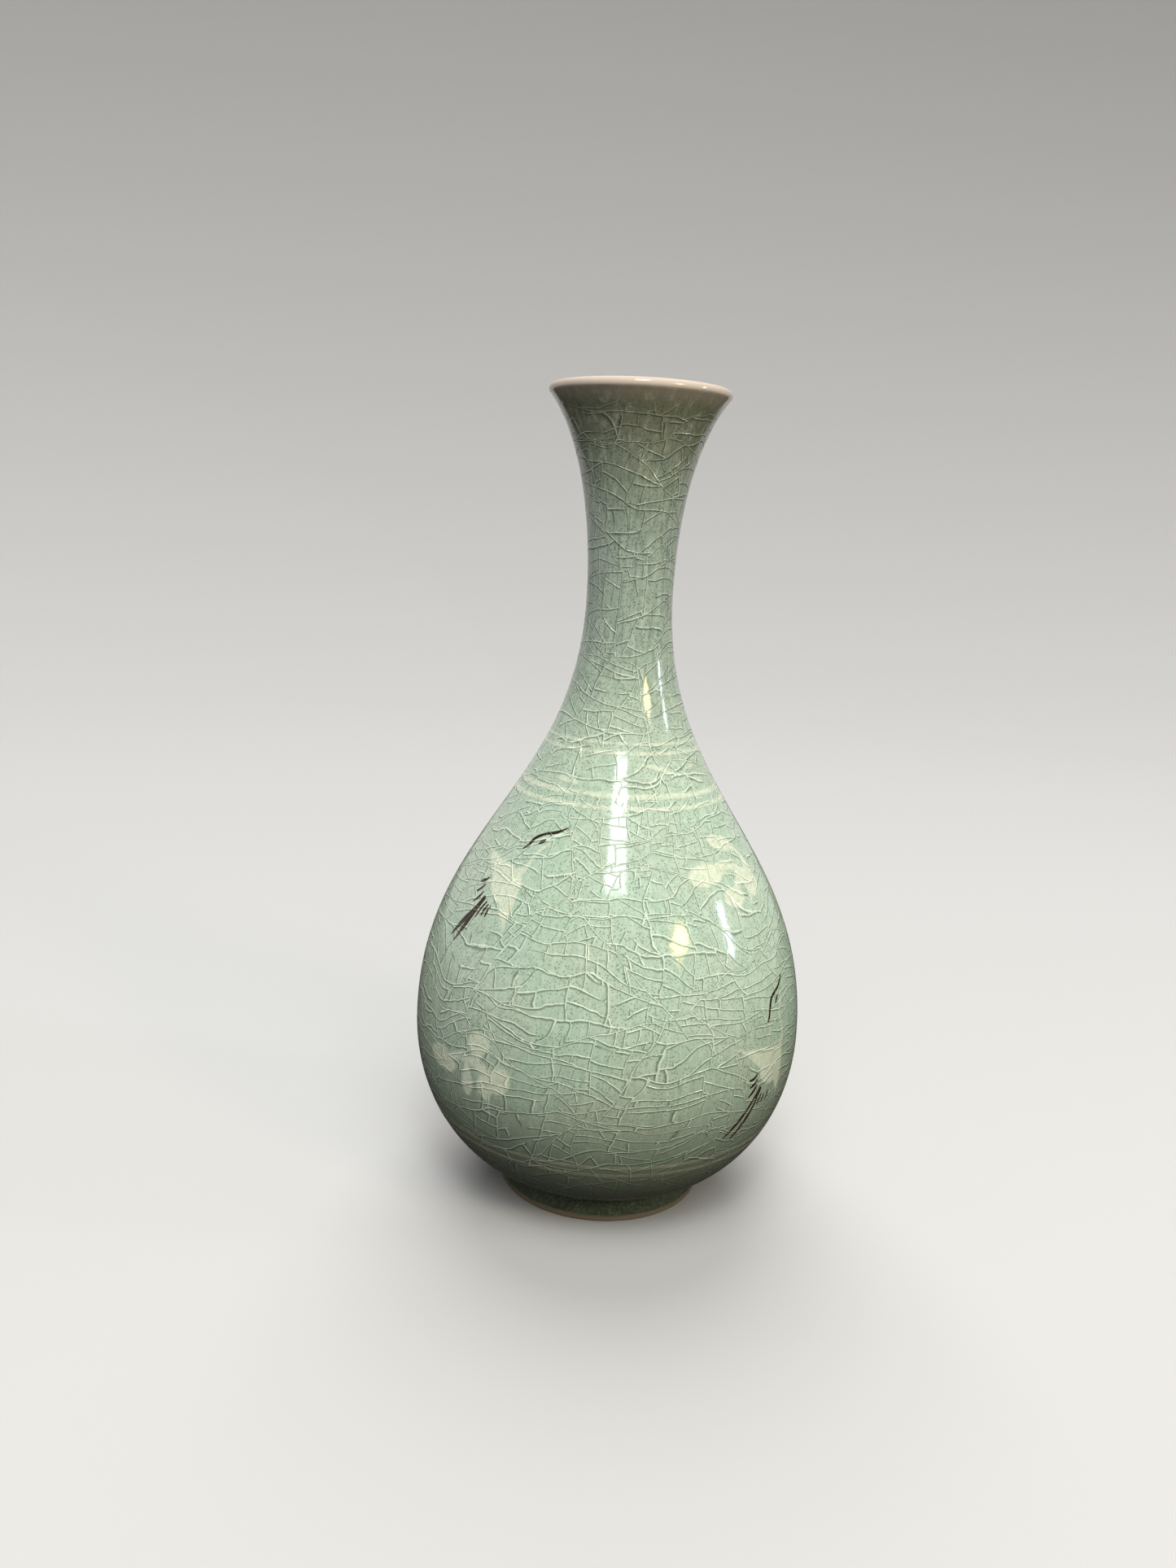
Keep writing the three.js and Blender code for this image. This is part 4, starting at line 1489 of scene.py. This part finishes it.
@dataclass
class Decoration:
    """All the inlay: two like sides of cranes, clouds and leaves, and the lines round the vase."""

    places: WallPlaces
    side: tuple[Stand, ...] = (
        Stand(HIGH_CRANE, -40, 127, 56.4),
        Stand(HIGH_CLOUD, 47, 134, 52.3),
        Stand(LOW_CLOUD, -40, 66, 73.1),
        Stand(LOW_CRANE, 53, 68, 73.1),
        Stand(LONG_LEAF, -32.5, 163.3, 34),
        Stand(COMMA, 26, 168.4, 31.1),
        Stand(SHORT_COMMA, 53, 168.6, 31),
    )
    side_turns: tuple[float, ...] = (0, 180)
    stained: Colour = (0.4, 0.36, 0.26, 1)
    pieces: list[bpy.types.Object] = field(default_factory=list)

    def build(self, effects: GlazeEffects) -> None:
        """Lays every piece of slip into the wall.

        Args:
            effects: Effects of the glaze over the slip.
        """
        white = WhiteSlip(effects).material()
        black = BlackSlip(effects).material()
        thin = WhiteSlip(effects, name="thin_white_slip", edge_to=0.9, cover=0.88).material()
        stained = WhiteSlip(
            effects, name="stained_slip", white=self.stained, thin=self.stained, edge_to=0.9, cover=0.6
        ).material()
        materials = {Slot.WHITE_SLIP: white, Slot.BLACK_SLIP: black}
        counts = {"crane": 0, "cloud": 0, "leaf": 0}
        for turn in self.side_turns:
            for stand in self.side:
                motif = stand.motif
                counts[motif.kind] += 1
                for part, shapes in motif.parts.items():
                    slot = motif.slot_of(part)
                    inlay = Inlay(
                        self.places,
                        motif.name_of(counts[motif.kind], part),
                        shapes,
                        stand.angle + turn,
                        stand.height,
                        stand.drawn_radius,
                        slot,
                    )
                    self.pieces.append(inlay.build(materials[slot]))
        for line, material in (("neck_line", thin), ("shoulder_line", thin), ("foot_line", stained)):
            for which in ("upper", "lower"):
                self.pieces.append(RingLine(self.places, f"{line}_{which}").build(material))


# ------------------------------------------------------------------ studio
def hang(data: bpy.types.Light, azimuth: float, elevation: float, distance: float) -> bpy.types.Object:
    """Hangs a light so that it faces the vase.

    Args:
        data: The light.
        azimuth: Degrees to the right of the front.
        elevation: Degrees above the floor.
        distance: Distance from the middle of the vase.

    Returns:
        The hung light.
    """
    turn, rise = math.radians(azimuth), math.radians(elevation)
    away = Vector((math.sin(turn) * math.cos(rise), -math.cos(turn) * math.cos(rise), math.sin(rise)))
    lamp = bpy.data.objects.new(data.name, data)
    lamp.location = Vector((0, 0, CAD_BOX[1].z * AIM_SHARE)) + away * distance
    lamp.rotation_mode = "QUATERNION"
    lamp.rotation_quaternion = away.to_track_quat("Z", "Y")
    bpy.context.scene.collection.objects.link(lamp)
    return lamp


@dataclass(frozen=True)
class Panel:
    """A light panel whose shape the glaze mirrors."""

    name: str
    azimuth: float
    elevation: float
    distance: float
    width: float
    height: float
    power: float
    colour: tuple[float, float, float]
    roll: float = 0.0

    def place(self) -> None:
        """Makes the panel and hangs it, rolled about the line to the vase."""
        data = bpy.data.lights.new(self.name, "AREA")
        data.shape = "RECTANGLE"
        data.size, data.size_y = self.width, self.height
        data.energy, data.color = self.power, self.colour
        lamp = hang(data, self.azimuth, self.elevation, self.distance)
        lamp.rotation_quaternion @= Quaternion((0, 0, 1), math.radians(self.roll))


@dataclass(frozen=True)
class FarLight:
    """A soft light so far away that it falls evenly on everything."""

    name: str
    azimuth: float
    elevation: float
    strength: float
    softness: float = 50.0

    def place(self) -> None:
        """Makes the light, which the glaze doesn't mirror, and hangs it."""
        data = bpy.data.lights.new(self.name, "SUN")
        data.energy, data.angle = self.strength, math.radians(self.softness)
        hang(data, self.azimuth, self.elevation, 4.0).visible_glossy = False


@dataclass
class Studio:
    """Plain floor that curves up far from the vase, soft light and the camera."""

    lights: tuple[FarLight | Panel, ...] = (
        FarLight("front_light", 6, 55, 3.15),
        FarLight("rear_light", 186, 58, 3.3),
        Panel("front_strip", 1.5, 51.5, 1.4, 0.31, 0.42, 7.4, (0.93, 0.97, 1)),
        Panel("warm_lamp", 48, 25, 1.5, 0.21, 0.29, 5.2, (1, 0.8, 0.34), roll=-62),
        Panel("cool_lamp", 84.5, 18, 1.5, 0.12, 0.35, 3.9, (0.72, 0.85, 1), roll=-20),
    )
    segments: int = 96
    flat_radius: float = 1.4
    rise_radius: float = 1.9
    wall_height: float = 6.0
    air_colour: Colour = (0.23, 0.235, 0.24, 1)
    table_colour: Colour = (0.035, 0.033, 0.03, 1)
    camera_place: tuple[float, float, float] = (0, -0.45766, 0.2485)
    camera_yaw: float = -1.464
    camera_down: float = 11.345
    camera_roll: float = 2.893
    lens: float = 28.58

    def build(self) -> None:
        """Sets up floor, world, lights and camera."""
        self.lay_floor()
        self.light()
        self.place_camera()

    def lay_floor(self) -> None:
        """Spins the flat floor, and round it the paper that curves up into a wall.

        The floor throws no light back, as a dark table would, and the top of the wall lets the
        light of the far lamps through.
        """
        paper = StudioPaper().material()
        flat = np.column_stack([np.linspace(0, self.flat_radius, 8), np.zeros(8)])
        rise = arc((self.flat_radius, self.rise_radius), self.rise_radius, -90, 0, 16)
        top = np.array([rise[-1], (rise[-1][0], self.wall_height)])
        sheets = (
            ("studio_floor", flat, False, True),
            ("studio_wall", rise, True, True),
            ("studio_wall_top", top, False, False),
        )
        for name, rows, lights_vase, shades in sheets:
            sheet = finished(name, turned(rows, self.segments), paper)
            sheet.data.flip_normals()
            sheet.visible_diffuse = lights_vase
            sheet.visible_glossy = lights_vase
            sheet.visible_shadow = shades

    def light(self) -> None:
        """Hangs the lights and sets the even light of the air, which is dark below the floor."""
        for light in self.lights:
            light.place()
        world = bpy.data.worlds.new("studio_air")
        world.use_nodes = True
        wiring = Wiring(world.node_tree)
        direction = wiring.node("TexCoord").outputs["Generated"]
        rise = wiring.node("SeparateXYZ", None, Vector=direction).outputs[2]
        share = wiring.step(rise, -0.1, 0.2)
        air = world.node_tree.nodes["Background"]
        wiring.feed(air.inputs["Color"], wiring.mix(share, self.table_colour, self.air_colour))
        bpy.context.scene.world = world

    def place_camera(self) -> None:
        """Stands the camera in front of the vase, a little above it and slightly rolled."""
        yaw, down = math.radians(self.camera_yaw), math.radians(self.camera_down)
        ahead = Vector((math.sin(yaw) * math.cos(down), math.cos(yaw) * math.cos(down), -math.sin(down)))
        side = Vector((math.cos(yaw), -math.sin(yaw), 0))
        roll = Matrix.Rotation(math.radians(self.camera_roll), 3, -ahead)
        side = roll @ side
        top = side.cross(ahead)
        turn = Matrix((side, top, -ahead)).transposed()
        data = bpy.data.cameras.new("camera")
        data.lens = self.lens
        camera = bpy.data.objects.new("camera", data)
        camera.location = self.camera_place
        camera.rotation_mode = "QUATERNION"
        camera.rotation_quaternion = turn.to_quaternion()
        bpy.context.scene.collection.objects.link(camera)
        bpy.context.scene.camera = camera
        bpy.context.scene.view_settings.view_transform = "Standard"


def main() -> None:
    """Builds the studio, the vessel and its inlay."""
    logging.basicConfig(level=logging.INFO, format="%(message)s")
    Studio().build()
    low, high = CAD_BOX
    places = WallPlaces.of(WallOutline(belly_radius=(high.x - low.x) / 2, height=high.z))
    effects = GlazeEffects.make()
    vessel = Vessel(places)
    vessel.build(GlazedClay(effects).material())
    decoration = Decoration(places)
    decoration.build(effects)
    LOG.info("%d pieces of slip", len(decoration.pieces))


if __name__ == "__main__":
    main()
